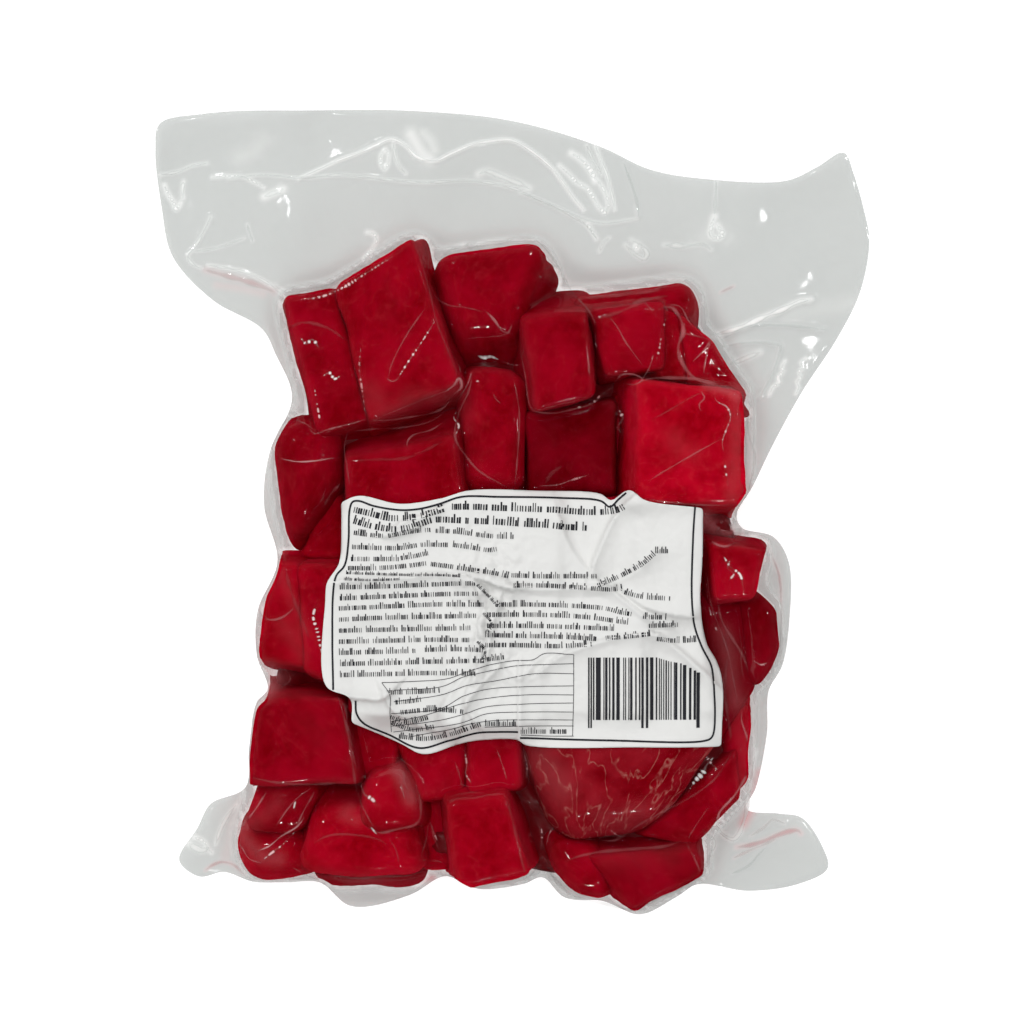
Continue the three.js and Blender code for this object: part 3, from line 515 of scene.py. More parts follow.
CREASES = {
    # The wide flap
    "flap_ridge": crease(
        (296, 176), (318, 166), (337, 157), (357, 150), (375, 142), (390, 136), (404, 142), (416, 154),
        (434, 158), (450, 151), (473, 141), (490, 138), (511, 137), (530, 147), (551, 164), (562, 178),
        (574, 195), (586, 210), whitening_and_highlight=0.75, high=0.7),
    "flap_fold": crease(
        (225, 176), (260, 172), (300, 175), (340, 172), (377, 176), (421, 180), (473, 178), (512, 185),
        (535, 195), (560, 206), (600, 221), (640, 216), whitening_and_highlight=0.3, high=0.5),
    "flap_fold_light": crease(
        (478, 171), (486, 168), (500, 173), (520, 181), (530, 186), whitening_and_highlight=0.4, wide=0.8),
    "flap_fold_second": crease((520, 190), (545, 200), (565, 210), (585, 222), (598, 238), whitening_and_highlight=0.25),
    "ridge_branch": crease((392, 140), (394, 152), (398, 163), (405, 171), whitening_and_highlight=0.4),
    "ridge_loop": crease(
        (384, 146), (380, 152), (380, 162), (384, 167), (387, 160), (387, 150), (384, 146), whitening_and_highlight=0.6,
        wide=0.5, beads=0.6),
    "ridge_patch": crease(
        (410, 131), (415, 140), (421, 150), (428, 155), whitening_and_highlight=0.45, wide=1.9, beads=0.6),
    "ridge_patch_far": crease((422, 130), (430, 138), (434, 148), whitening_and_highlight=0.3, wide=1.4, beads=0.6),
    "left_line": crease((157, 172), (175, 168), (190, 162), (204, 160), whitening_and_highlight=0.35),
    "left_line_near": crease(
        (209, 174), (225, 173), (240, 174), (252, 179), (262, 185), whitening_and_highlight=0.5, beads=0.4),
    "left_patch": crease((262, 194), (272, 190), (282, 186), whitening_and_highlight=0.6, wide=0.9, beads=0.4),
    "left_cloud": crease((236, 154), (252, 148), (262, 136), whitening_and_highlight=0.16, wide=2.6),
    "left_tick": crease(
        (161, 182), (164, 190), (170, 199), (173, 206), (177, 200), whitening_and_highlight=0.7, wide=0.6, beads=0.5),
    "left_tick_far": crease((180, 178), (179, 188), (180, 196), whitening_and_highlight=0.5, wide=0.5),
    "left_edge": crease(
        (208, 214), (203, 225), (196, 238), (190, 247), (185, 254), (190, 262), (200, 267), whitening_and_highlight=0.35,
        high=0.5),
    "left_ray": crease((192, 249), (212, 246), (228, 241), (242, 236), whitening_and_highlight=0.25),
    "left_ray_far": crease((245, 222), (248, 232), (251, 240), whitening_and_highlight=0.2),
    "left_rim": crease((205, 263), (225, 266), (245, 271), (262, 279), (276, 288), whitening_and_highlight=0.4),
    "left_rim_stain": crease(
        (203, 268), (225, 274), (250, 281), (272, 290), whitening_and_highlight=0.12, pink=0.7, wide=0.8),
    "left_rim_stain_near": crease((214, 283), (240, 287), (262, 292), whitening_and_highlight=0.08, pink=0.5, wide=1.2),
    "bead_string": crease(
        (366, 230), (371, 231), (376, 237), (372, 245), (366, 253), (362, 258), whitening_and_highlight=0.8, wide=0.5,
        beads=0.6),
    "far_rim": crease(
        (272, 284), (290, 292), (315, 288), (340, 279), (366, 262), (390, 249), (413, 238), whitening_and_highlight=0.35,
        wide=0.5, beads=0.3),
    "far_rim_dots": crease(
        (302, 302), (325, 298), (345, 290), (369, 275), (394, 259), whitening_and_highlight=0.7, wide=0.5, beads=0.6),
    "far_rim_stain": crease(
        (290, 296), (320, 290), (352, 275), (380, 258), (404, 245), whitening_and_highlight=0.12, pink=1.3, wide=0.7),
    "far_glint": crease((441, 259), (452, 248), (463, 244), whitening_and_highlight=0.7, wide=0.6),
    "far_glint_right": crease((478, 242), (500, 239), (523, 242), whitening_and_highlight=0.6, wide=0.4),
    "thread": crease(
        (535, 238), (545, 248), (556, 262), (566, 279), (576, 297), (588, 312), (596, 328), whitening_and_highlight=0.3),
    "thread_branch": crease((543, 272), (552, 266), (560, 264), whitening_and_highlight=0.3),
    "thread_knot": crease((538, 277), (548, 283), (557, 290), whitening_and_highlight=0.8, wide=0.8, beads=0.3),
    "steep_line": crease(
        (596, 142), (602, 158), (607, 170), (611, 185), (614, 198), (616, 210), whitening_and_highlight=0.5),
    "steep_line_left": crease((587, 142), (594, 157), (603, 172), whitening_and_highlight=0.3),
    "bead_row": crease(
        (572, 150), (580, 155), (588, 163), (594, 172), (596, 178), whitening_and_highlight=0.6, wide=0.8, beads=0.7),
    "bead_loop": crease(
        (560, 163), (570, 172), (578, 180), (588, 186), (594, 195), (600, 205), (606, 210), (609, 203),
        (607, 193), (602, 183), (596, 175), whitening_and_highlight=0.55, wide=0.6, beads=0.7),
    "flap_shade": crease((625, 160), (632, 180), (638, 200), (640, 215), whitening_and_highlight=0.06, high=0.5),
    "knot": crease((588, 222), (594, 232), (597, 237), whitening_and_highlight=0.5, wide=0.6, beads=0.6),
    "knot_line": crease((600, 250), (605, 240), (610, 236), whitening_and_highlight=0.35, wide=0.5),
    "knot_loop": crease(
        (626, 243), (634, 251), (645, 257), (648, 252), (641, 243), (632, 238), whitening_and_highlight=0.3, wide=0.6),
    "knot_glint": crease((636, 244), (638, 247), whitening_and_highlight=1.0, wide=0.6),
    "cone_thread": crease((718, 178), (717, 195), (716, 212), whitening_and_highlight=0.2, wide=0.4),
    "cone": crease(
        (716, 214), (713, 224), (712, 233), (718, 236), (724, 233), (718, 222), whitening_and_highlight=0.6, wide=0.8,
        beads=0.4),
    "cone_veil": crease((706, 238), (716, 228), (730, 238), whitening_and_highlight=0.14, wide=2.4),
    "right_line": crease((665, 243), (685, 244), (705, 243), (712, 248), whitening_and_highlight=0.25, wide=0.6),
    "right_dash": crease((722, 291), (728, 288), (735, 285), whitening_and_highlight=0.1, pink=0.6),
    "right_wedge": crease(
        (710, 335), (730, 330), (745, 325), (765, 316), (785, 308), (802, 300), (814, 298), whitening_and_highlight=0.85,
        wide=0.7, high=0.9),
    "right_wedge_veil": crease((790, 313), (820, 307), (845, 303), (862, 301), whitening_and_highlight=0.16, wide=2.6),
    "right_fold": crease((720, 340), (750, 326), (780, 324), (810, 326), (828, 328), whitening_and_highlight=0.1, high=0.8),
    "right_tent": crease(
        (722, 346), (745, 342), (770, 342), (782, 345), (780, 355), (775, 370), (768, 385), (760, 398),
        whitening_and_highlight=0.15, high=0.9),
    "right_tent_light": crease((730, 364), (745, 358), (762, 351), whitening_and_highlight=0.4, wide=0.8),
    "zigzag": crease(
        (787, 360), (784, 366), (785, 371), (780, 376), (781, 382), (775, 386), (771, 394), whitening_and_highlight=0.7,
        wide=0.5, beads=0.4),
    "zigzag_right": crease(
        (808, 357), (803, 362), (806, 366), (801, 371), (803, 376), (799, 381), (801, 386), (798, 393),
        whitening_and_highlight=0.6, beads=0.4),
    "right_glint": crease((732, 373), (738, 380), (745, 388), (749, 393), whitening_and_highlight=0.9, wide=0.9, beads=0.3),
    "right_margin": crease(
        (752, 400), (748, 430), (757, 455), (752, 480), (745, 498), whitening_and_highlight=0.25, pink=0.1),

    # The two ears
    "left_ear_line": crease(
        (234, 807), (228, 815), (222, 824), (217, 835), (213, 848), whitening_and_highlight=0.5, wide=0.5),
    "left_ear_loop": crease(
        (192, 840), (198, 842), (203, 846), (206, 852), (210, 856), whitening_and_highlight=0.6, wide=0.6, beads=0.3),
    "left_ear_light": crease((186, 846), (192, 850), (200, 853), (207, 850), whitening_and_highlight=0.5, wide=0.8),
    "left_ear_stain": crease(
        (203, 873), (210, 868), (220, 865), (231, 868), (242, 877), whitening_and_highlight=0.15, pink=0.9),
    "left_ear_band": crease(
        (238, 805), (229, 830), (226, 850), (222, 862), whitening_and_highlight=0.1, pink=0.35, wide=1.6),
    "right_ear_stain": crease(
        (738, 849), (752, 847), (766, 843), (778, 838), (790, 834), (800, 833), (804, 837), whitening_and_highlight=0.2,
        pink=0.9, wide=0.7),
    "right_ear_fold": crease(
        (735, 860), (750, 853), (765, 847), (778, 841), whitening_and_highlight=0.15, pink=0.4, high=0.6),
    "right_ear_ray": crease((733, 876), (750, 868), (760, 857), (767, 850), whitening_and_highlight=0.05, high=0.5),
    "right_ear_far": crease(
        (752, 838), (765, 830), (775, 822), (787, 826), whitening_and_highlight=0.15, pink=0.2, high=0.5),
    "right_strip": crease(
        (744, 700), (741, 718), (747, 739), (750, 765), (735, 793), (718, 814), (720, 832), (735, 841),
        (746, 822), (752, 780), (758, 750), whitening_and_highlight=0.5, wide=0.6),
    "right_strip_stain": crease(
        (738, 700), (736, 725), (742, 750), (738, 778), whitening_and_highlight=0.1, pink=0.5, wide=1.4),
    "right_strip_loop": crease((702, 829), (716, 846), (704, 866), whitening_and_highlight=0.4, wide=0.5),
    "near_stain": crease((317, 877), (350, 881), (390, 883), (432, 881), whitening_and_highlight=0.25, pink=2.4, wide=1.3),
    "near_rim": crease((300, 868), (330, 875), (370, 878), (415, 872), (440, 862), whitening_and_highlight=0.3),

    # The far left piece
    "clusters": crease((302, 339), (308, 345), (314, 341), (321, 350), whitening_and_highlight=0.9, wide=0.6, beads=0.6),
    "clusters_near": crease(
        (325, 377), (331, 374), (336, 380), (342, 377), whitening_and_highlight=0.9, wide=0.5, beads=0.6),
    "dots_left": crease((316, 388), (318, 401), (322, 424), whitening_and_highlight=0.7, beads=0.7),
    "dots_right": crease((363, 346), (361, 369), (364, 392), (367, 416), whitening_and_highlight=0.5, beads=0.6),
    "facet_left": crease((287, 331), (305, 324), (328, 329), (348, 342), whitening_and_highlight=0.14, wide=0.7),
    "left_rim_film": crease(
        (270, 285), (284, 298), (287, 326), (299, 352), (308, 404), (313, 430), whitening_and_highlight=0.35),
    "near_rim_left": crease(
        (309, 427), (316, 434), (330, 430), (350, 425), (368, 420), whitening_and_highlight=0.4, beads=0.3),

    # The second piece, its knot and the gaps round it
    "diagonal": crease((437, 321), (424, 342), (411, 361), (399, 380), whitening_and_highlight=0.8, beads=0.6),
    "diagonal_faint": crease((427, 309), (406, 340), (392, 369), (390, 381), whitening_and_highlight=0.25),
    "diagonal_foot": crease((388, 380), (394, 383), (400, 380), whitening_and_highlight=0.7, beads=0.5),
    "smear": crease((374, 392), (380, 405), (395, 412), (412, 400), whitening_and_highlight=0.12, wide=3.0),
    "smear_far": crease((388, 283), (394, 300), (390, 325), whitening_and_highlight=0.015, wide=2.6),
    "smear_right": crease((430, 398), (445, 402), (455, 394), whitening_and_highlight=0.16, wide=1.9),
    "corner_knot": crease(
        (444, 394), (453, 388), (460, 380), (462, 388), (454, 396), whitening_and_highlight=0.5, wide=0.6),
    "near_rim_right": crease((372, 422), (390, 421), (409, 418), (441, 410), (456, 394), whitening_and_highlight=0.35),
    "near_rim_outer": crease((348, 433), (370, 430), (400, 428), (432, 421), (450, 407), whitening_and_highlight=0.25),
    "gap_dots": crease((458, 410), (454, 418), (459, 426), (456, 436), whitening_and_highlight=0.8, beads=0.6),
    "gap_line": crease((472, 372), (468, 385), (460, 398), whitening_and_highlight=0.5, beads=0.3),
    "right_rim_left": crease(
        (411, 240), (421, 262), (430, 292), (437, 322), (452, 360), (460, 381), whitening_and_highlight=0.12),

    # The rounded far piece
    "round_loop": crease(
        (431, 286), (438, 300), (450, 307), (465, 309), (478, 312), (486, 314), whitening_and_highlight=0.16),
    "round_fold": crease((485, 312), (494, 321), (502, 332), (508, 334), (512, 326), whitening_and_highlight=0.4, wide=0.5),
    "round_rim": crease(
        (434, 275), (440, 262), (455, 252), (480, 246), (515, 244), (535, 250), whitening_and_highlight=0.25),
    "gap_glint": crease((477, 356), (484, 358), (491, 357), (499, 360), whitening_and_highlight=1.0, wide=0.6, beads=0.3),
    "gap_glint_right": crease((502, 361), (511, 365), (519, 366), whitening_and_highlight=0.5, beads=0.5),

    # The pieces in the middle of the second row
    "middle_left": crease(
        (473, 372), (469, 392), (458, 416), (456, 439), (466, 456), (479, 471), (508, 488), whitening_and_highlight=0.28,
        wide=0.5),
    "middle_right": crease((514, 381), (519, 410), (519, 433), (515, 488), whitening_and_highlight=0.25),
    "middle_smear": crease((464, 398), (469, 412), (468, 428), whitening_and_highlight=0.06, wide=2.2),
    "middle_scratch": crease((493, 394), (497, 401), (501, 404), whitening_and_highlight=0.3, beads=0.3),
    "left_thread": crease((349, 432), (345, 447), (348, 465), (351, 485), whitening_and_highlight=0.22),
    "loop_thread": crease((409, 451), (408, 443), (413, 436), (432, 430), (444, 422), whitening_and_highlight=0.4),
    "far_edge_faint": crease((352, 461), (380, 460), (409, 458), (444, 442), whitening_and_highlight=0.08, wide=0.7),
    "round_left_glint": crease((282, 459), (299, 462), (318, 461), (335, 458), whitening_and_highlight=0.6),
    "round_left_rim": crease((274, 440), (280, 425), (292, 419), (306, 424), (318, 432), whitening_and_highlight=0.3),
    "round_left_fold": crease((325, 506), (332, 494), (341, 484), whitening_and_highlight=0.2, wide=0.7),
    "dark_rim": crease(
        (519, 346), (525, 376), (532, 410), (550, 414), (569, 411), (592, 404), (611, 387), whitening_and_highlight=0.3,
        beads=0.2),
    "dark_dots": crease((566, 411), (580, 408), (593, 403), (600, 396), (611, 388), whitening_and_highlight=0.7, beads=0.6),
    "dark_near": crease((540, 486), (557, 485), (572, 480), (589, 475), whitening_and_highlight=0.45, beads=0.4),
    "dark_near_left": crease((545, 484), (551, 474), (562, 466), whitening_and_highlight=0.1, wide=1.0),
    "slot_dots": crease((618, 410), (622, 419), (617, 428), (622, 434), whitening_and_highlight=0.7, wide=0.6, beads=0.6),
    "slot_swirl": crease(
        (612, 386), (621, 376), (633, 376), (641, 381), (633, 386), (622, 384), whitening_and_highlight=0.35),
    "slot_line": crease((652, 356), (648, 369), (641, 381), whitening_and_highlight=0.5, beads=0.5),

    # The folds over the far right pieces
    "cube_thread": crease((607, 317), (617, 330), (624, 343), (641, 366), whitening_and_highlight=0.28),
    "cube_thread_short": crease((641, 300), (646, 307), (652, 314), whitening_and_highlight=0.35),
    "cube_far": crease((594, 321), (618, 314), (644, 302), (668, 297), whitening_and_highlight=0.16, wide=0.9),
    "cube_dots": crease((665, 318), (660, 337), (658, 350), (655, 362), whitening_and_highlight=0.6, beads=0.7),
    "thick_ridge": crease(
        (655, 312), (670, 309), (679, 320), (682, 333), (677, 348), (681, 364), (693, 379), (712, 385),
        (730, 392), whitening_and_highlight=0.35, wide=0.9, high=0.9),
    "strip_far": crease(
        (578, 300), (600, 298), (630, 295), (656, 291), (668, 284), (690, 284), whitening_and_highlight=0.2, wide=0.8),
    "strip_end": crease((665, 306), (679, 308), (686, 320), (692, 330), whitening_and_highlight=0.3),
    "strip_veil": crease((690, 290), (697, 302), (690, 314), whitening_and_highlight=0.12, wide=2.0),
    "star_left": crease((710, 340), (702, 352), (691, 363), whitening_and_highlight=0.4),
    "star_middle": crease((710, 340), (705, 358), (702, 375), whitening_and_highlight=0.4),
    "star_right": crease((709, 341), (717, 354), (723, 366), whitening_and_highlight=0.5),
    "star_far": crease((679, 334), (694, 337), (710, 341), whitening_and_highlight=0.22),
    "big_far_rim": crease(
        (636, 384), (650, 380), (665, 379), (702, 381), (729, 390), (738, 398), whitening_and_highlight=0.3, wide=0.8),
    "big_corner_veil": crease((705, 386), (722, 391), (735, 397), whitening_and_highlight=0.5, wide=1.4),
    "big_scratch": crease((646, 482), (662, 472), (679, 462), (700, 450), (722, 438), whitening_and_highlight=0.3),
    "big_scratch_far": crease((650, 421), (668, 411), (685, 401), (702, 392), whitening_and_highlight=0.12),
    "big_curl": crease((698, 392), (702, 399), (697, 406), (699, 413), whitening_and_highlight=0.35),
    "big_curl_right": crease(
        (711, 396), (715, 403), (724, 408), (728, 418), (724, 430), (720, 442), (721, 452), whitening_and_highlight=0.7,
        beads=0.4),
    "big_dots": crease((722, 462), (724, 476), (726, 488), whitening_and_highlight=0.8, beads=0.7),
    "big_smear": crease((673, 440), (680, 450), (692, 454), whitening_and_highlight=0.12, wide=3.0),
    "big_band": crease((734, 404), (733, 440), (731, 480), (729, 498), whitening_and_highlight=0.22, wide=2.0),
    "big_right_rim": crease(
        (738, 392), (747, 410), (745, 433), (743, 476), (738, 503), whitening_and_highlight=0.3, wide=0.5),
    "big_near_rim": crease((639, 498), (665, 502), (700, 505), (738, 505), whitening_and_highlight=0.25),

    # The left side, from far to near
    "side_arc": crease((257, 606), (263, 615), (273, 619), (285, 616), (297, 606), whitening_and_highlight=0.3, wide=0.5),
    "side_boundary": crease((287, 566), (291, 585), (300, 610), (312, 640), whitening_and_highlight=0.1, wide=0.7),
    "side_dots": crease((320, 600), (315, 615), (319, 630), (324, 655), whitening_and_highlight=0.85, wide=0.6, beads=0.7),
    "side_smear": crease((284, 622), (296, 640), (304, 655), whitening_and_highlight=0.12, wide=2.2),
    "side_far_smear": crease((284, 575), (292, 596), (300, 612), (306, 630), whitening_and_highlight=0.12, wide=1.8),
    "side_ice": crease((261, 668), (272, 672), (276, 682), (267, 690), whitening_and_highlight=0.8, wide=2.2),
    "side_ice_rim": crease((257, 664), (270, 666), (285, 669), (290, 680), (275, 690), whitening_and_highlight=0.35),
    "cube_left_rim": crease((258, 695), (252, 715), (250, 740), (247, 772), whitening_and_highlight=0.3),
    "cube_near_rim": crease((250, 774), (280, 780), (317, 782), (353, 779), whitening_and_highlight=0.2, wide=0.6),
    "cube_right_edge": crease(
        (338, 690), (343, 705), (348, 725), (356, 775), (357, 800), whitening_and_highlight=0.16, wide=0.5),
    "cube_smear": crease((305, 718), (318, 728), (322, 740), whitening_and_highlight=0.03, wide=3.0),
    "corner_thread": crease((313, 786), (300, 795), (290, 806), (276, 826), whitening_and_highlight=0.3),
    "corner_rim": crease((268, 790), (258, 806), (247, 820), (236, 832), whitening_and_highlight=0.45, wide=0.5),
    "corner_glint": crease((297, 799), (295, 807), whitening_and_highlight=0.9, wide=0.4),
    "corner_ridge": crease(
        (258, 850), (270, 845), (282, 835), (298, 825), (306, 815), whitening_and_highlight=0.6, wide=0.4),
    "corner_veil": crease((240, 828), (250, 843), (264, 856), (280, 858), whitening_and_highlight=0.34, wide=2.2),
    "corner_facet": crease((234, 836), (243, 848), (250, 858), (262, 862), whitening_and_highlight=0.45),
    "corner_facet_dots": crease((260, 862), (271, 853), (284, 843), (297, 829), whitening_and_highlight=0.7, beads=0.6),
    "corner_edge": crease((316, 790), (309, 802), (303, 813), (298, 825), whitening_and_highlight=0.3),
    "corner_low": crease((292, 866), (303, 872), (316, 882), whitening_and_highlight=0.35),
    "corner_veil_far": crease((256, 820), (268, 812), (280, 800), whitening_and_highlight=0.15, wide=2.2),

    # The near row
    "lump_glints": crease((362, 783), (366, 792), (373, 796), (379, 803), whitening_and_highlight=0.8, wide=0.7, beads=0.6),
    "lump_glint_right": crease((402, 781), (404, 790), (406, 797), whitening_and_highlight=0.4),
    "lump_rim": crease(
        (417, 783), (421, 800), (421, 815), (416, 822), (400, 826), (380, 830), (368, 824), whitening_and_highlight=0.28,
        wide=0.6),
    "lump_left": crease((357, 784), (361, 798), (368, 812), (376, 826), whitening_and_highlight=0.2),
    "lump_veil": crease((352, 806), (345, 812), (358, 818), whitening_and_highlight=0.25, wide=1.8),
    "lump_far_veil": crease((398, 768), (406, 780), (412, 796), whitening_and_highlight=0.5, wide=2.0),
    "long_arc": crease(
        (315, 842), (325, 835), (340, 832), (360, 833), (376, 836), (388, 842), whitening_and_highlight=0.14, wide=0.6),
    "long_glint": crease((372, 824), (375, 828), (378, 832), whitening_and_highlight=0.9, wide=0.4, beads=0.3),
    "long_fold": crease((390, 836), (397, 848), (400, 862), whitening_and_highlight=0.12),
    "long_near_rim": crease((292, 862), (310, 870), (340, 874), (380, 876), (415, 870), whitening_and_highlight=0.14),
    "wrinkle_left": crease(
        (421, 856), (426, 840), (430, 822), (434, 838), (443, 857), whitening_and_highlight=0.22, high=0.5),
    "wrinkle_dots": crease((430, 820), (433, 830), (438, 842), whitening_and_highlight=0.6, beads=0.5),
    "wrinkle_near": crease((422, 858), (436, 861), (452, 863), whitening_and_highlight=0.25),
    "column_dots": crease((465, 750), (467, 764), (466, 772), (472, 782), whitening_and_highlight=0.6, beads=0.5),
    "column_left": crease((455, 760), (460, 775), (463, 788), whitening_and_highlight=0.16),
    "column_right": crease((497, 748), (502, 762), (507, 778), whitening_and_highlight=0.3, beads=0.3),
    "tall_top": crease((447, 796), (458, 792), (475, 790), (492, 792), whitening_and_highlight=0.12),
    "tall_right": crease((505, 792), (512, 815), (520, 850), (527, 878), whitening_and_highlight=0.1, wide=0.6),
    "pit_left": crease((519, 792), (530, 806), (538, 822), (543, 850), whitening_and_highlight=0.12),
    "pit_dots": crease((541, 826), (542, 836), (541, 847), whitening_and_highlight=0.7, beads=0.6),
    "pit_dots_right": crease((553, 826), (549, 834), (546, 845), whitening_and_highlight=0.6, beads=0.4),
    "pit_fold": crease((522, 882), (534, 870), (543, 857), (550, 872), (557, 886), whitening_and_highlight=0.28, high=0.6),
    "marbled_veil": crease((540, 756), (552, 772), (562, 790), whitening_and_highlight=0.22, wide=4.5),
    "marbled_veil_near": crease((600, 812), (615, 818), (640, 806), whitening_and_highlight=0.15, wide=3.0),
    "marbled_rim": crease(
        (579, 836), (598, 839), (615, 839), (642, 820), (665, 808), (690, 796), (714, 778), (732, 751),
        whitening_and_highlight=0.18, wide=0.5),
    "marbled_glints": crease(
        (688, 789), (694, 780), (702, 772), (706, 764), (714, 756), whitening_and_highlight=1.0, wide=0.9, beads=0.6),
    "marbled_glint_near": crease((610, 828), (616, 833), (622, 836), whitening_and_highlight=0.6, beads=0.4),
    "marbled_glint_left": crease((524, 752), (527, 764), (526, 778), whitening_and_highlight=0.5, beads=0.5),
    "flat_top": crease(
        (564, 860), (580, 854), (600, 850), (635, 847), (666, 844), (684, 838), whitening_and_highlight=0.22, wide=0.7),
    "flat_right": crease((684, 838), (690, 850), (696, 862), (702, 877), whitening_and_highlight=0.2),
    "flat_near": crease(
        (594, 905), (612, 908), (630, 908), (648, 901), (665, 893), (699, 875), whitening_and_highlight=0.22, pink=0.5,
        wide=0.8),
    "flat_left": crease((549, 868), (558, 884), (572, 897), (594, 905), whitening_and_highlight=0.25, pink=0.4, wide=0.6),
    "flat_veil": crease((612, 862), (640, 858), (670, 856), whitening_and_highlight=0.05, wide=3.0),
    "wedge_line": crease((687, 838), (697, 822), (708, 806), whitening_and_highlight=0.2),
    "right_dots": crease((722, 556), (728, 566), (738, 574), (742, 592), whitening_and_highlight=0.9, wide=0.5, beads=0.65),
    "right_dots_left": crease(
        (728, 560), (726, 568), (732, 573), (727, 580), whitening_and_highlight=0.8, wide=0.5, beads=0.6),
    "right_loop_far": crease((738, 541), (752, 539), (763, 548), (770, 560), whitening_and_highlight=0.35, pink=0.3),
    "right_dark_line": crease(
        (706, 575), (709, 600), (718, 625), (727, 650), (733, 680), (738, 705), whitening_and_highlight=0.2),
    "right_dark_second": crease(
        (716, 600), (722, 622), (733, 640), (742, 655), (748, 672), whitening_and_highlight=0.25, wide=0.6),
    "right_dark_glints": crease((708, 606), (713, 622), (717, 632), whitening_and_highlight=0.6, beads=0.65),
    "right_round_glint": crease((752, 660), (760, 664), (766, 662), whitening_and_highlight=0.6, beads=0.3),
    "right_loop": crease(
        (708, 517), (716, 514), (722, 520), (718, 530), (710, 540), (722, 546), (738, 541), whitening_and_highlight=0.45,
        wide=0.6),
    "right_pocket": crease((716, 530), (724, 536), (736, 534), (744, 528), whitening_and_highlight=0.3, wide=1.0),
    "right_pocket_veil": crease((706, 518), (714, 526), (728, 530), (740, 532), whitening_and_highlight=0.9, wide=2.0),
    "right_column": crease((727, 655), (724, 690), (728, 720), (731, 742), whitening_and_highlight=0.15, wide=0.8),
    "right_dark_veil": crease((722, 632), (728, 655), (730, 680), (734, 700), whitening_and_highlight=0.3, wide=2.6),
    "right_wedge_stain": crease(
        (762, 776), (758, 795), (752, 812), (744, 826), whitening_and_highlight=0.2, pink=2.0, wide=1.5),
    "right_outer": crease(
        (770, 548), (781, 575), (783, 605), (780, 640), (778, 662), whitening_and_highlight=0.25, pink=0.6),
    "right_glints": crease((705, 755), (711, 763), (718, 771), whitening_and_highlight=0.8, wide=0.6, beads=0.6),
}

film_x = np.arange(-FILM_HALF[0], FILM_HALF[0] + FILM_STEP / 2, FILM_STEP)
film_y = np.arange(-FILM_HALF[1], FILM_HALF[1] + FILM_STEP / 2, FILM_STEP)
X, Y = np.meshgrid(film_x, film_y, indexing="ij")
outline = spaced(edge_curve, OUTLINE_POINTS, True)


def inside(x, y, loop):
    """True for each point from which a ray to the right crosses the loop an odd number of
    times."""
    odd = np.zeros(x.shape, bool)
    for (ax, ay), (bx, by) in zip(loop, np.roll(loop, -1, 0)):
        if ay != by:
            odd ^= ((ay > y) != (by > y)) & (x < ax + (y - ay) * (bx - ax) / (by - ay))
    return odd


def shifted(values, dx, dy):
    """A grid moved by whole cells, its rim repeated."""
    padded = np.pad(values, 1, mode="edge")
    return padded[1 + dx:padded.shape[0] - 1 + dx, 1 + dy:padded.shape[1] - 1 + dy]


def mean_beside(values, rounds=1):
    """Mean of the four neighbours of each grid point, taken over and over."""
    for _ in range(rounds):
        rows = shifted(values, 1, 0) + shifted(values, -1, 0)
        values = (rows + shifted(values, 0, 1) + shifted(values, 0, -1)) / 4
    return values


def highest_beside(values, rounds=1):
    """Highest of each grid point and its eight neighbours, taken over and over."""
    for _ in range(rounds):
        rows = np.maximum(values, np.maximum(shifted(values, 1, 0), shifted(values, -1, 0)))
        values = np.maximum(rows, np.maximum(shifted(rows, 0, 1), shifted(rows, 0, -1)))
    return values


def drawn_tight(sheet, floor, pull, step, rounds):
    """A sheet that its tension straightens and a pull bends down, but never through the floor
    under it: height = highest of the floor and the mean of the neighbours less the pull."""
    for _ in range(rounds):
        sheet = np.maximum(floor, mean_beside(sheet) - pull * step**2 / 4)
    return sheet


def highest_under(points):
    """Highest of the points that lie nearest to each grid point, 0 where there are none."""
    heights = np.zeros(X.shape)
    i = np.round((points[:, 0] + FILM_HALF[0]) / FILM_STEP).astype(int)
    j = np.round((points[:, 1] + FILM_HALF[1]) / FILM_STEP).astype(int)
    np.maximum.at(heights, (i, j), points[:, 2])
    return heights


def height_on(heights, x, y, start=(film_x[0], film_y[0]), step=FILM_STEP):
    """Height of a sheet at points of its plan, between the four nearest points of its grid."""
    gx, gy = (x - start[0]) / step, (y - start[1]) / step
    i, j = gx.astype(int), gy.astype(int)
    fx, fy = gx - i, gy - j
    return ((heights[i, j] * (1 - fx) + heights[i + 1, j] * fx) * (1 - fy)
            + (heights[i, j + 1] * (1 - fx) + heights[i + 1, j + 1] * fx) * fy)


def away_from(path, x, y):
    """Distance of each point from a polyline, and whether it lies to its left."""
    nearest, left = np.full(x.shape, np.inf), np.zeros(x.shape, bool)
    for (ax, ay), (bx, by) in zip(path[:-1], path[1:]):
        square = (bx - ax) ** 2 + (by - ay) ** 2
        run = np.clip(((x - ax) * (bx - ax) + (y - ay) * (by - ay)) / square, 0, 1)
        apart = np.hypot(x - ax - run * (bx - ax), y - ay - run * (by - ay))
        left = np.where(apart < nearest, (bx - ax) * (y - ay) > (by - ay) * (x - ax), left)
        nearest = np.minimum(nearest, apart)
    return nearest, left


def traced(path, step):
    """A smooth curve through pixels of the photograph: its points in plan at even steps, and
    the directions to its left."""
    plan = [((x - PIXEL_MIDDLE) * PIXEL, (PIXEL_MIDDLE - y) * PIXEL) for x, y in path]
    fine = curve_through(plan, CURVE_STEPS, False)
    length = np.linalg.norm(np.diff(fine, axis=0), axis=1).sum()
    points = spaced(fine, max(3, round(length / step) + 1))
    way = np.gradient(points, axis=0)
    way /= np.linalg.norm(way, axis=1, keepdims=True)
    return points, np.stack([-way[:, 1], way[:, 0]], 1)


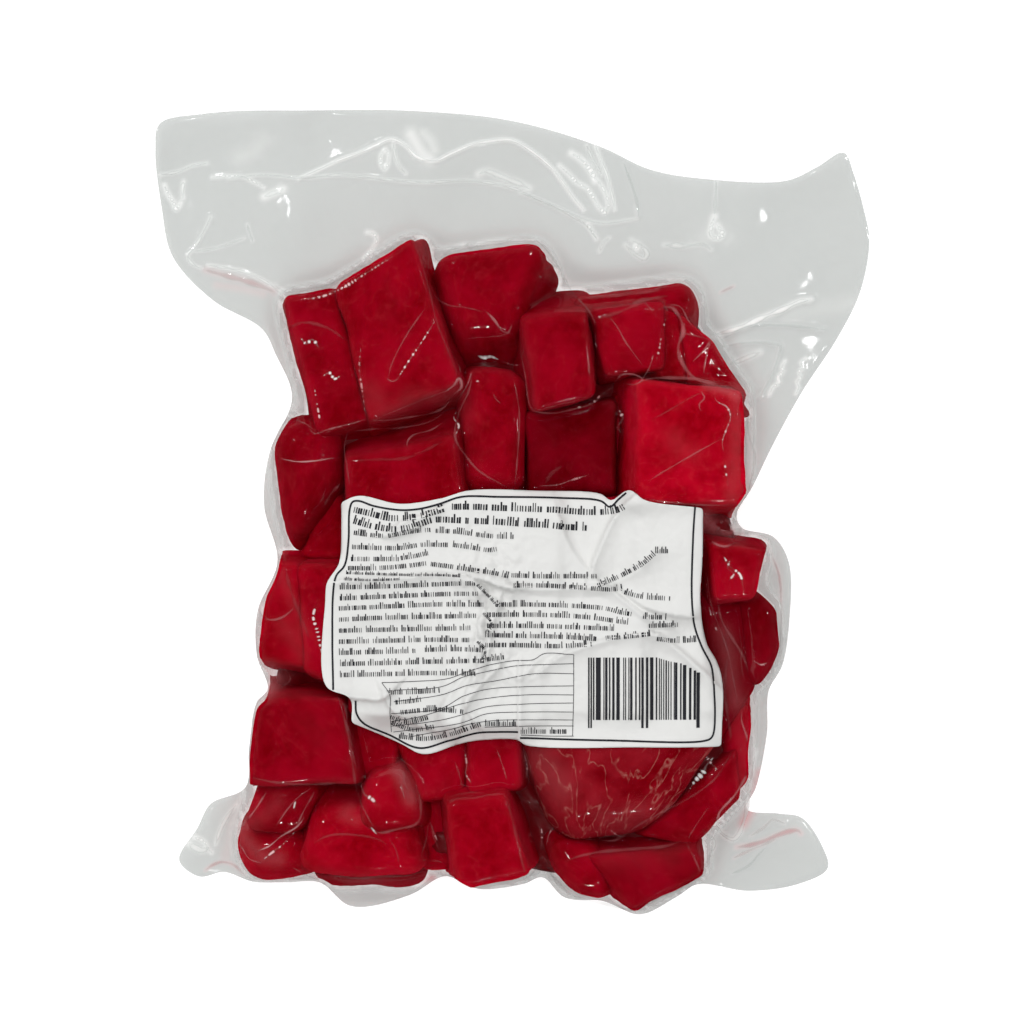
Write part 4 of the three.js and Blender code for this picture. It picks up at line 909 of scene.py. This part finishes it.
# The lower web: flat under the contents, then up to the height of the margin
contents = highest_beside(highest_under(np.vstack([tuna_points, juice_points])))
filled = 1 - highest_beside((contents == 0).astype(float))
loose = np.clip(1 - 2 * mean_beside(filled, LOOSE_ROUNDS), 0, 1)
bare = np.clip(1.05 - 1.4 * mean_beside(filled, 1), 0, 1)
past_x, past_y = X - np.clip(X, -ROOT_HALF, ROOT_HALF), Y - np.clip(Y, ROOT_NEAR, ROOT_FAR)
gone = np.clip((np.hypot(past_x, past_y) - ROOT_ROUND) / FALL_LENGTH, 0, 1)
folds = FOLD_MEAN + sum(swing * np.sin(ax * X + ay * Y + start) for ax, ay, start, swing in FOLDS)
margin = FILM_THICK / 2 + (WAIST_HIGH - FILM_THICK / 2) * (1 - gone) ** 2 + FOLD_HIGH * gone * folds
lower = LOWER_HIGH + (margin - WEB_GAP) * loose * loose * (3 - 2 * loose)

# The upper web, drawn down between the pieces, wrinkled where it is free
floor_under = np.maximum(mean_beside(contents, HUG_ROUNDS) + FILM_GAP, lower + WEB_GAP)
upper = drawn_tight(highest_beside(floor_under, 8), floor_under, PULL, FILM_STEP, PULL_ROUNDS)
free = mean_beside(np.clip((upper - floor_under) / FREE_GAP, 0, 1), 4)
plan = np.stack([X.ravel(), Y.ravel()], 1)
wrinkles = uneven(plan, WRINKLES, rng).reshape(X.shape)
slack = uneven(plan * SLACK_WAYS, SLACK_ALONG, rng) + uneven(plan, SLACK_SHORT, rng)
wrinkles *= np.maximum(free, WRINKLE_LEAST) * (1 - loose)
upper = upper + wrinkles + slack.reshape(X.shape) * loose

# Milky where it lies bare and low, where it is stretched over an edge and in faint frost.
# Beside the walls of the contents the lower web is the milky one, and the upper one is clear.
low = np.clip(1.4 - (upper - lower) / HAZE_HIGH, 0, 1)
stretched = np.clip((upper - mean_beside(upper, 3)) / 0.35, 0, 1) * (1 - bare)
frost = np.clip(uneven(plan, FROST, rng).reshape(X.shape) - 0.35, 0, 1) ** 1.5
haze = HAZE_FROST * frost + HAZE_STRETCHED * stretched + HAZE_BARE * bare * low
stain = np.maximum(STAIN_FLESH * (1 - bare), STAIN_MARGIN + STAIN_EDGE * np.exp(-4.0 * loose))

# Each crease: a soft rise and smear on the web, and a crisp line on its crest. Their white is
# partly whitened film and partly painted highlight. The line tapers at its ends, wavers,
# breaks up into beads of painted glints, is weaker and tinted over the flesh, and fades on
# the steep walls of the contents.
bright = np.zeros(X.shape)
wall = mean_beside(np.hypot(*np.gradient(upper, FILM_STEP))) * mean_beside(highest_beside(bare, 8), 2)
across = np.linspace(-1, 1, 5)
crests = dict(points=[], faces=[], haze=[], stain=[])
count = 0
for mark in CREASES.values():
    whitening_and_highlight, beads, broad = mark["whitening_and_highlight"], mark["beads"], mark["wide"] >= BROAD
    points, left = traced(mark["path"], CREST_STEP)
    spread = max(SMEAR_LEAST, mark["wide"] * (1.0 if broad else 1.2))
    profile = np.exp(-((away_from(points[::3], X, Y)[0] / spread) ** 2))
    covered, more_bare = SMEAR_BROAD if broad else SMEAR_FINE
    soft = whitening_and_highlight * (covered + more_bare * bare)
    haze += (1 - haze) * np.minimum(1, soft) * profile * (1 - 0.5 * beads)
    bright = np.maximum(bright, np.minimum(1, 1.6 * whitening_and_highlight) * profile)
    stain = np.maximum(stain, mark["pink"] * (1 - 0.65 * bare) * profile)
    if broad:
        continue
    upper += mark["high"] * profile
    share = np.linspace(0, 1, len(points))
    taper = np.minimum(1, CREST_ENDS * np.minimum(share, 1 - share)) ** 0.7
    along = CREST_STEP * np.arange(len(points))[:, None]
    waver = uneven(along, WAVER, rng) * 0.25 + 0.9
    broken = 1 - min(1, 1.5 * beads) * (uneven(along, GLINTS, rng) < BEAD_DARK)
    over_flesh = 1 - height_on(bare, *points.T)
    half = mark["wide"] * taper * waver * (0.4 + 0.6 * broken)
    half = half * (1 - 0.35 * over_flesh * (1 - beads)) + CREST_LEAST
    strip = half[:, None] * across
    crests["points"].append((points[:, None] + left[:, None] * strip[..., None]).reshape(-1, 2))
    crests["faces"].append(quads_of(count + np.arange(strip.size).reshape(strip.shape)))
    strong = whitening_and_highlight * (1 - 0.45 * over_flesh * (1 - whitening_and_highlight)) * waver * broken * taper
    strong *= np.clip(WALL_CLEAR - height_on(wall, *points.T) / WALL_STEEP, 0, 1)
    crest_milk_and_highlight = np.clip(strong * (1.15 - 0.15 * over_flesh) * (1 + 0.7 * beads), 0, 1)
    crests["haze"].append((crest_milk_and_highlight[:, None] * (1 - across**2)).ravel())
    tint = np.maximum(mark["pink"], 0.8 * over_flesh * (1 - whitening_and_highlight**3))
    crests["stain"].append(np.repeat(tint, len(across)))
    count += strip.size
crests = {key: np.concatenate(parts) for key, parts in crests.items()}

# Smoothed a little, and drawn down to the lower web along the sealed edge
upper = np.maximum(0.5 * upper + 0.5 * mean_beside(upper), lower + WEB_LEAST)
from_edge = away_from(np.vstack([film_edge, film_edge[:1]]), X, Y)[0]
apart = np.sqrt(np.clip((from_edge - SHUT) / PARTED, 0, 1))
upper = lower + WEB_LEAST + (upper - lower - WEB_LEAST) * apart


def cut_sheet(name, x, y, heights, loop, material, slot, facing_up=True, **fields):
    """A sheet cut from a grid along a closed outline: the cells whose middle lies inside, with
    their outermost points moved onto the outline."""
    cells = inside((x[:-1, :-1] + x[1:, 1:]) / 2, (y[:-1, :-1] + y[1:, 1:]) / 2, loop)
    ring = np.pad(cells, 1).astype(int)
    touching = ring[:-1, :-1] + ring[1:, :-1] + ring[:-1, 1:] + ring[1:, 1:]
    used = touching > 0
    edge = used & (touching < 4)
    points = np.stack([x, y, heights], -1)
    points[edge, :2] = loop[np.linalg.norm(points[edge][:, None, :2] - loop[None], axis=2).argmin(1)]
    index = np.full(x.shape, -1)
    index[used] = np.arange(used.sum())
    faces = quads_of(index)[cells.ravel()]
    faces = (faces if facing_up else faces[:, ::-1]).tolist()
    values = {key: field[used] for key, field in fields.items()}
    return mesh_piece(name, points[used], faces, material, slot, **values)


# Clear film that mirrors more the flatter it is seen, with its milky parts grey in broad
# smears, white on the creases, which is partly whitened film and partly painted highlight,
# and pink where juice stains it
vacuum_film, tree, surface = new_material("vacuum_film")
facing = add(tree, "LayerWeight", {"Blend": 0.5}).outputs["Facing"]
mirrored = calc(tree, "MULTIPLY_ADD", calc(tree, "POWER", facing, 5.0), 0.12, 0.04)
clear = add(tree, "BsdfTransparent", {"Color": FILM_CLEAR})
# Grey milk turns white on the creases: whitened film and painted highlight
grey = blend(tree, field_of(tree, "bright"), FILM_GREY, FILM_WHITENED_AND_HIGHLIT)
milk_and_painted_highlight = add(tree, "BsdfDiffuse", {"Color": blend(tree, field_of(tree, "stain"), grey, FILM_PINK)})
gloss = add(tree, "BsdfGlossy", {"Color": (1, 1, 1, 1), "Roughness": 0.1})
body = add(tree, "MixShader", {0: field_of(tree, "haze"), 1: clear.outputs[0], 2: milk_and_painted_highlight.outputs[0]})
film_shader = add(tree, "MixShader", {0: mirrored, 1: body.outputs[0], 2: gloss.outputs[0]})
tree.links.new(film_shader.outputs[0], surface)

upper_web = cut_sheet("film_upper", X, Y, upper, outline, vacuum_film, "film", haze=haze,
                      bright=bright, stain=stain)
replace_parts(upper_web, "pouch")

# The lower web is flatter, so every second point of the grid is enough
coarse = np.s_[::2, ::2]
lower_haze = bare * (HAZE_LOWER + HAZE_WALL * (1 - low))
lower_web = cut_sheet("film_lower", X[coarse], Y[coarse], lower[coarse], outline, vacuum_film, "film",
                      facing_up=False, haze=lower_haze[coarse], bright=bright[coarse],
                      stain=stain[coarse])
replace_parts(lower_web, "pouch")

# The crisp crest lines, white as whitened film and as painted highlight and glints
crest_high = height_on(highest_beside(upper) * 0.35 + upper * 0.65, *crests["points"].T) + CREST_LIFT
crest_points = np.column_stack([crests["points"], crest_high])
crease_lines_and_highlights = mesh_piece("film_creases_and_highlights", crest_points, crests["faces"].tolist(), vacuum_film, "film",
                     haze=crests["haze"], bright=np.ones(count), stain=crests["stain"])
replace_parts(crease_lines_and_highlights, "pouch")


# The label
# A printed paper label stuck on the film. It bridges the gaps between the pieces and is
# pinched and pleated where the film drew in under it.
PAPER_STEP = 0.42
PAPER_SPAN = ((-50.4, 56), (-64.68, 8))  # of the paper's grid in x and y
PAPER_OUTLINE_POINTS = 900
CORNER_ROUNDS = 6  # of smoothing that round the label's corners
PAPER_FLOOR = 0.15  # paper above the film
PAPER_THICK = 0.14
PAPER_SAG = 0.12  # how sharply the paper sags into the gaps
PAPER_ROUNDS = 160
CRUMPLE = [(0.7, 6.0), (0.28, 6.0 / 2.2)]  # height and length of the small dents
CRUMPLE_REST = 0.15  # share of them away from the pinch in the middle
CRUMPLE_MIDDLE, CRUMPLE_REACH = np.array([-6.5, -27.0]), (9.0, 20.0)
PLEAT_STEEP, PLEAT_EVEN, PLEAT_GENTLE = 0.4, 1.3, 2.0  # reach of a pleat's sides in half widths
PAPER_WHITE = (0.72, 0.72, 0.705, 1)
LABEL_FAR = [
    (-44, 2.5), (-39.5, 4.2), (-29, 2.1), (-18.7, 3.4), (-11, 5.5), (7, 5.4), (23, 4.6),
    (25.5, 2.9), (30.2, 5.7), (34, 3.1), (49.1, 1),
]
LABEL_NEAR = [
    (-41.4, -54.3), (-29.1, -59.8), (-22.8, -62.7), (-13.5, -59.8), (-8.3, -58.8), (1.8, -58.8),
    (3.2, -60), (33.3, -60.6), (54, -60.6),
]
LABEL_LEFT = [
    (-44, 2.5), (-43.9, -4.7), (-44.5, -13), (-47.6, -18.2), (-48.1, -23), (-48, -44.7),
    (-41.7, -48), (-41.4, -54.3),
]
LABEL_RIGHT = [
    (49.1, 1), (48.9, -12.5), (48.4, -23), (50.2, -34), (52.8, -38.5), (54.3, -43.7), (54, -60.6),
]


def pleat(*path, high=1.0, wide=1.2, steep=0):
    """One fold of the paper along pixels of the photograph, with its height and half width,
    and 1 or -1 where it drops off steeply to the left or right of its path."""
    return dict(path=path, high=high, wide=wide, steep=steep)


PLEATS = {
    "shoulder": pleat(
        (343, 580), (380, 579), (400, 577), (433, 574), (460, 576), (472, 580), high=2.7, steep=1),
    "curl": pleat((474, 576), (487, 580), (500, 585), (513, 588), high=3.6, wide=1.0, steep=-1),
    "curl_far": pleat((480, 572), (492, 576), (505, 580), high=2, wide=0.9, steep=1),
    "pinch_far": pleat((472, 578), (484, 590), (495, 600), high=3.1, steep=1),
    "pinch_left": pleat((478, 592), (484, 606), (479, 624), (482, 642), (478, 660), high=2.5, steep=-1),
    "pinch_right": pleat((500, 600), (494, 618), (490, 640), (486, 660), high=2.2, steep=1),
    "pinch_near": pleat((482, 660), (474, 676), (466, 700), (476, 720), high=2.1, steep=-1),
    "valley": pleat((489, 592), (488, 610), (486, 632), (484, 655), high=-2.5, wide=1.2),
    "shelf": pleat(
        (515, 585), (545, 588), (575, 587), (605, 583), (628, 575), (645, 561), (656, 550), high=2.2,
        steep=1),
    "shelf_shade": pleat((520, 595), (560, 597), (600, 596), high=-1.1, wide=2.6),
    "far_fold": pleat((627, 502), (612, 520), (600, 545), (592, 565), high=2.7, wide=1.4, steep=-1),
    "far_facet": pleat((560, 520), (566, 540), (580, 562), (592, 575), high=1.5, wide=1.6, steep=1),
    "far_left_fold": pleat((395, 528), (408, 520), (424, 516), (440, 508), high=2, wide=1.0, steep=1),
    "far_left_near": pleat((385, 536), (404, 533), (420, 526), high=1.5, wide=0.9, steep=-1),
    "right_far": pleat((605, 585), (629, 604), (645, 616), (669, 624), high=2.4, wide=1.0, steep=1),
    "right_far_second": pleat(
        (620, 588), (640, 604), (660, 611), (688, 616), high=1.7, wide=0.9, steep=-1),
    "right_fold": pleat(
        (541, 668), (560, 654), (590, 643), (620, 635), (650, 632), high=2, wide=1.0, steep=1),
    "right_flap": pleat(
        (657, 634), (672, 645), (690, 660), (703, 672), (712, 680), high=2.8, wide=1.2, steep=1),
    "table_fold": pleat(
        (494, 657), (505, 668), (518, 676), (540, 655), (552, 650), high=1.4, wide=1.0, steep=1),
    "table_step": pleat((519, 664), (519, 700), (519, 740), high=1.8, wide=0.9, steep=-1),
    "table_wave": pleat((497, 668), (480, 685), (466, 704), (457, 736), high=1.8, wide=1.2, steep=1),
    "table_wave_left": pleat((470, 668), (452, 690), (440, 712), high=1.4, wide=1.2, steep=-1),
    "panel_edge": pleat(
        (328, 690), (345, 694), (368, 697), (383, 697), (392, 690), high=2.8, wide=1.1, steep=-1),
    "panel_fold": pleat((384, 692), (392, 706), (410, 720), (440, 730), high=1.7, wide=1.0, steep=-1),
}

sides = [LABEL_FAR, LABEL_RIGHT, LABEL_NEAR[::-1], LABEL_LEFT[::-1]]
sides = np.concatenate([curve_through(side, CURVE_STEPS, False)[:-1] for side in sides])
label_outline = spaced(sides, PAPER_OUTLINE_POINTS, True)
for _ in range(CORNER_ROUNDS):
    label_outline = (np.roll(label_outline, 1, 0) + 2 * label_outline + np.roll(label_outline, -1, 0)) / 4
label_x, label_y = (np.arange(*span, PAPER_STEP) for span in PAPER_SPAN)
LX, LY = np.meshgrid(label_x, label_y, indexing="ij")
paper_floor = height_on(highest_beside(upper), LX, LY) + PAPER_FLOOR
paper = mean_beside(drawn_tight(paper_floor, paper_floor, PAPER_SAG, PAPER_STEP, PAPER_ROUNDS), 3)

# Each pleat falls off with the distance from its path, and more sharply on its steep side
for fold in PLEATS.values():
    points, left = traced(fold["path"], 1.0)
    apart, on_left = away_from(points, LX, LY)
    dropping = on_left if fold["steep"] > 0 else ~on_left
    gentle = PLEAT_GENTLE if fold["steep"] else PLEAT_EVEN
    reach = fold["wide"] * np.where(fold["steep"] * dropping != 0, PLEAT_STEEP, gentle)
    paper += fold["high"] * np.exp(-apart / reach)
paper_plan = np.stack([LX.ravel(), LY.ravel()], 1)
dents = np.abs(uneven(paper_plan, CRUMPLE, rng))
near_pinch = np.exp(-(((paper_plan - CRUMPLE_MIDDLE) / CRUMPLE_REACH) ** 2).sum(1))
paper += (dents * (CRUMPLE_REST + (1 - CRUMPLE_REST) * near_pinch)).reshape(LX.shape)
paper = np.maximum(paper, paper_floor)

label_paper, tree, surface = new_material("label_paper")
coated = {"Base Color": PAPER_WHITE, "Roughness": 0.55, "Specular IOR Level": 0.2}
sheet = add(tree, "BsdfPrincipled", coated)
tree.links.new(sheet.outputs[0], surface)
label = cut_sheet("label_sheet", LX, LY, paper, label_outline, label_paper, "label")
thick = label.modifiers.new("thickness", "SOLIDIFY")
thick.thickness = PAPER_THICK / METRE
thick.offset = 1
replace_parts(label, "label")


# The print
# A border line, rows of type shown only as upright ticks of uneven length, a ruled table and
# a field of bars that stands for nothing. The rows bend with the crumpled paper.
INK_LIFT = 0.1  # of the print above the paper
LINE_WIDE = 0.5
RULE_WIDE = 0.16
LINE_STEP = 0.5  # along a printed line
TYPE_STEP = 0.1  # and along a row of type
WORD_LETTERS = (3, 10)  # fewest, and one more than most
LETTER_TICKS = 2
TALL_SHARE = 0.22  # of the ticks
TICK_FOOT, TICK_TALL = -0.36, 0.5  # ends of a tall tick across the row, in heights of the type
TICK_LOW, TICK_LOW_MORE = 0.18, 0.06  # upper end of a low one, and how much it varies
TICK_WIDE = (0.7, 1.9)  # in widths of a stroke
TICK_APART = (0.18, 0.31)  # in heights of the type
WORD_GAP = 0.35
INK_COLOUR = (0.025, 0.025, 0.03, 1)

BORDER = [
    [(625, 493), (618, 499), (609, 507), (600, 501), (560, 498), (500, 497), (462, 497), (440, 504),
     (420, 509), (400, 510), (375, 506), (360, 501), (354, 502), (351, 510), (350, 540), (346, 565),
     (338, 575), (335, 590), (334, 640), (335, 688)],
    [(693, 507), (691, 540), (690, 600), (693, 625), (700, 645), (710, 665), (712, 680), (713, 727),
     (710, 736), (703, 739), (600, 738), (520, 736)],
    [(518, 730), (498, 730), (478, 731), (450, 739), (420, 747), (390, 734), (365, 722), (358, 712),
     (357, 699)],
]
# Each row of type by its middle line, from left to right
TITLE_ROWS = [
    [(356, 509), (373, 513), (389, 517), (405, 517), (420, 515), (432, 512), (445, 508)],
    [(453, 506), (474, 506), (496, 507), (528, 508), (554, 509), (581, 511), (602, 511), (616, 509),
     (624, 505)],
    [(356, 520), (373, 525), (392, 528), (408, 527), (421, 523), (434, 519), (450, 519), (470, 520)],
    [(476, 520), (498, 521), (525, 523), (546, 524), (565, 526), (587, 527)],
]
TYPE_ROWS = [
    [(356, 532), (370, 534), (385, 535)], [(390, 535), (405, 532), (418, 530), (432, 529)],
    [(437, 530), (458, 531), (488, 535), (516, 536)],
    [(354, 546), (380, 547), (402, 547), (421, 544), (450, 544)],
    [(454, 544), (469, 546), (490, 549), (497, 548)], [(353, 558), (376, 558), (400, 558)],
    [(402, 557), (415, 555), (429, 552)], [(350, 567), (378, 567), (405, 565), (429, 562)],
    [(432, 563), (448, 565), (469, 568), (496, 572), (509, 575)],
    [(512, 574), (538, 575), (570, 575), (596, 575)],
    [(342, 586), (389, 585), (437, 583), (466, 582), (476, 582)],
    [(514, 584), (538, 584), (578, 586), (608, 588), (621, 587)], [(624, 591), (640, 595), (669, 597)],
    [(342, 597), (389, 595), (437, 593), (480, 592)],
    [(496, 603), (533, 603), (565, 604), (605, 607), (621, 611), (634, 613)], [(642, 615), (666, 616)],
    [(341, 607), (389, 605), (437, 603), (486, 603)], [(341, 618), (389, 616), (437, 615), (477, 614)],
    [(488, 613), (528, 613), (565, 614), (592, 616), (613, 619), (629, 621)], [(648, 624), (680, 623)],
    [(341, 629), (389, 628), (437, 627), (473, 626)],
    [(488, 624), (528, 624), (565, 625), (590, 626), (616, 627)],
    [(341, 640), (389, 639), (432, 638), (470, 638)], [(486, 633), (528, 634), (565, 635), (597, 637)],
    [(605, 636), (621, 635), (649, 632)], [(656, 637), (676, 639), (696, 638)],
    [(341, 651), (380, 650), (418, 649)], [(426, 648), (456, 647), (485, 648)],
    [(486, 643), (512, 643), (557, 644), (592, 642)],
    [(342, 662), (389, 661), (421, 660), (458, 659), (485, 658)], [(486, 657), (495, 656), (504, 655)],
    [(342, 673), (389, 672), (432, 671), (477, 671)], [(654, 550), (660, 550), (667, 550)],
    [(597, 584), (618, 575), (640, 563), (653, 552)], [(391, 690), (410, 690), (442, 688)],
    [(397, 700), (410, 699), (423, 697)], [(402, 710), (422, 708), (442, 707), (466, 709)],
    [(392, 715), (407, 720), (430, 715)], [(393, 721), (413, 728), (436, 724)],
    [(400, 735), (427, 737), (450, 732), (482, 721)], [(486, 721), (500, 721), (518, 721)],
    [(521, 729), (540, 729), (568, 729)],
]
SMALL_ROWS = [
    [(348, 572), (378, 573), (413, 574), (440, 574), (461, 575)], [(346, 578), (373, 579), (402, 578)],
    [(478, 584), (488, 594), (498, 605)], [(484, 612), (492, 622), (486, 632)],
    [(478, 640), (486, 650), (482, 658)],
]
# The rows with the height of their capitals and the width of a stroke in those heights
TYPE = [(TITLE_ROWS, 2.7, 0.11), (TYPE_ROWS, 2.0, 0.095), (SMALL_ROWS, 1.1, 0.11)]

TABLE_LINES = [
    [(383, 681), (413, 680), (448, 677), (470, 669), (490, 663), (515, 659), (533, 658), (544, 652),
     (573, 653)],
    [(388, 689), (442, 685), (464, 675), (485, 670), (517, 664), (538, 663), (573, 662)],
    [(395, 700), (442, 693), (469, 683), (496, 679), (533, 672), (573, 672)],
    [(392, 712), (440, 707), (466, 693), (490, 687), (517, 685), (573, 684)],
    [(392, 720), (421, 715), (464, 701), (490, 696), (522, 693), (573, 693)],
    [(392, 725), (432, 720), (464, 712), (485, 705), (522, 702), (573, 701)],
    [(394, 731), (418, 728), (464, 720), (485, 712), (512, 710), (573, 710)],
    [(410, 736), (448, 728), (474, 721), (498, 718), (573, 718)], [(485, 725), (520, 724), (573, 724)],
    [(521, 733), (545, 734), (573, 734)],
]
TABLE_SIDES = [[(573, 653), (573, 690), (572, 734)], [(383, 681), (391, 693), (391, 712), (392, 731)]]
BARS_LEFT, BARS_RIGHT, BARS_FAR, BARS_NEAR, GUARD_NEAR = 588, 699, 656, 718, 726
BARS_CUT = [(655, 656), (668, 660), (680, 662), (690, 667), (700, 673)]  # a fold over the far corner
BAR_STEP = 0.8
BAR_WIDE, BAR_SHARES = [1.0, 1.5, 2.4, 3.4], [0.4, 0.25, 0.25, 0.1]  # in pixels, and how often
BAR_GAPS = [0.9, 1.4, 2.2]
GUARD_REACH = 3  # from either side and from the middle, where the bars are longer

stripes = []


def lay(line, left, wide):
    """A flat stripe of ink along points in plan, kept until all the print is laid."""
    stripes.append(line[:, None] + left[:, None] * (wide / 2 * np.array([-1.0, 1.0]))[:, None])


def type_row(path, high, heavy):
    """A row of upright ticks with gaps like those between words. Each tick is a stripe across
    the row, as tall as a small or a tall letter."""
    points, left = traced(path, TYPE_STEP)
    at, ticks = 0.0, int(rng.integers(*WORD_LETTERS)) * LETTER_TICKS
    while at < TYPE_STEP * (len(points) - 2):
        k = int(at / TYPE_STEP)
        tall = rng.random() < TALL_SHARE
        head = TICK_TALL if tall else TICK_LOW + TICK_LOW_MORE * rng.random()
        way = np.array([left[k, 1], -left[k, 0]])
        line = points[k] + left[k] * np.linspace(TICK_FOOT * high, high * head, 4)[:, None]
        lay(line, np.tile(way, (4, 1)), high * heavy * rng.uniform(*TICK_WIDE))
        at += high * rng.uniform(*TICK_APART)
        ticks -= 1
        if ticks <= 0:
            at += high * WORD_GAP
            ticks = int(rng.integers(*WORD_LETTERS)) * LETTER_TICKS


for path in BORDER:
    lay(*traced(path, LINE_STEP), LINE_WIDE)
for path in TABLE_LINES + TABLE_SIDES:
    lay(*traced(path, LINE_STEP), RULE_WIDE)
for rows, high, heavy in TYPE:
    for path in rows:
        type_row(path, high, heavy)
cut_x, cut_y = np.array(BARS_CUT, float).T
at = BARS_LEFT
while at < BARS_RIGHT:
    wide = float(rng.choice(BAR_WIDE, p=BAR_SHARES))
    far = np.interp(at, cut_x, cut_y, left=BARS_FAR)
    guard = min(at - BARS_LEFT, BARS_RIGHT - at, abs(at - (BARS_LEFT + BARS_RIGHT) / 2)) < GUARD_REACH
    near = GUARD_NEAR if guard else BARS_NEAR
    lay(*traced([(at, far), (at, (far + BARS_NEAR) / 2), (at, near)], BAR_STEP), wide * PIXEL)
    at += wide + float(rng.choice(BAR_GAPS))

# All stripes as one mesh, over the paper's upper face
count, faces = 0, []
for stripe in stripes:
    rows, columns = stripe.shape[:2]
    faces += quads_of(count + np.arange(rows * columns).reshape(rows, columns)).tolist()
    count += rows * columns
place = np.concatenate([stripe.reshape(-1, 2) for stripe in stripes])
paper_start = np.array([label_x[0], label_y[0]])
ink_high = height_on(paper, *place.T, paper_start, PAPER_STEP)
steep = np.sqrt(1 + sum(slope**2 for slope in np.gradient(paper, PAPER_STEP)))
i, j = ((place - paper_start) / PAPER_STEP).astype(int).T
ink_high += highest_beside(steep)[i, j] * PAPER_THICK + INK_LIFT
label_ink, tree, surface = new_material("label_ink")
matt = {"Base Color": INK_COLOUR, "Roughness": 0.7, "Specular IOR Level": 0.1}
dark = add(tree, "BsdfPrincipled", matt)
tree.links.new(dark.outputs[0], surface)
label_print = mesh_piece("label_print", np.column_stack([place, ink_high]), faces, label_ink, "label")
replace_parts(label_print, "label")


# The floor and the light
# A plain white table that glows a little, under soft light from above and from the far left.
# The soft light stays out of the mirror of the film, so that flat tops keep their colour, and
# three small lamps give the creases their glints.
FLOOR_SIDE = 6.0  # metres
FLOOR_GREY, FLOOR_GLOW = (0.5, 0.5, 0.5, 1), 0.75
SKY_LIGHT = 0.5
floor_finish, tree, surface = new_material("floor")
pale = add(tree, "BsdfPrincipled", {
    "Base Color": FLOOR_GREY, "Roughness": 0.9, "Specular IOR Level": 0.0,
    "Emission Color": (1, 1, 1, 1), "Emission Strength": FLOOR_GLOW,
})
tree.links.new(pale.outputs[0], surface)
half = FLOOR_SIDE / 2
corners = [(-half, -half, 0), (half, -half, 0), (half, half, 0), (-half, half, 0)]
mesh = bpy.data.meshes.new("floor")
mesh.from_pydata(corners, [], [(0, 1, 2, 3)])
mesh.materials.append(floor_finish)
floor = bpy.data.objects.new("floor", mesh)
bpy.context.scene.collection.objects.link(floor)
floor.visible_glossy = False

world = bpy.data.worlds.new("studio")
world.use_nodes = True
world.cycles_visibility.glossy = False
bpy.context.scene.world = world
world.node_tree.nodes["Background"].inputs["Color"].default_value = (1, 1, 1, 1)
world.node_tree.nodes["Background"].inputs["Strength"].default_value = SKY_LIGHT

# Place, size and power of each lamp, in metres and watts; only the small ones show as glints
LAMPS = [
    ("soft_above", (-0.1, 0.15, 1.7), 1.0, 12.5, False),
    ("soft_far_left", (-0.8, 1.0, 1.1), 0.5, 6.5, False),
    ("glint_far_left", (-0.55, 0.6, 1.15), 0.10, 0.7, True),
    ("glint_right", (0.8, 0.25, 0.95), 0.08, 0.5, True),
    ("glint_near", (0.15, -0.85, 1.0), 0.08, 0.5, True),
]
for name, at, size, power, mirrored_in_film in LAMPS:
    lamp = bpy.data.lights.new(name, "AREA")
    lamp.size = size
    lamp.energy = power
    holder = bpy.data.objects.new(name, lamp)
    holder.location = at
    holder.rotation_euler = holder.location.to_track_quat("Z", "Y").to_euler()
    holder.visible_glossy = mirrored_in_film
    bpy.context.scene.collection.objects.link(holder)

bpy.context.scene.view_settings.view_transform = "Standard"
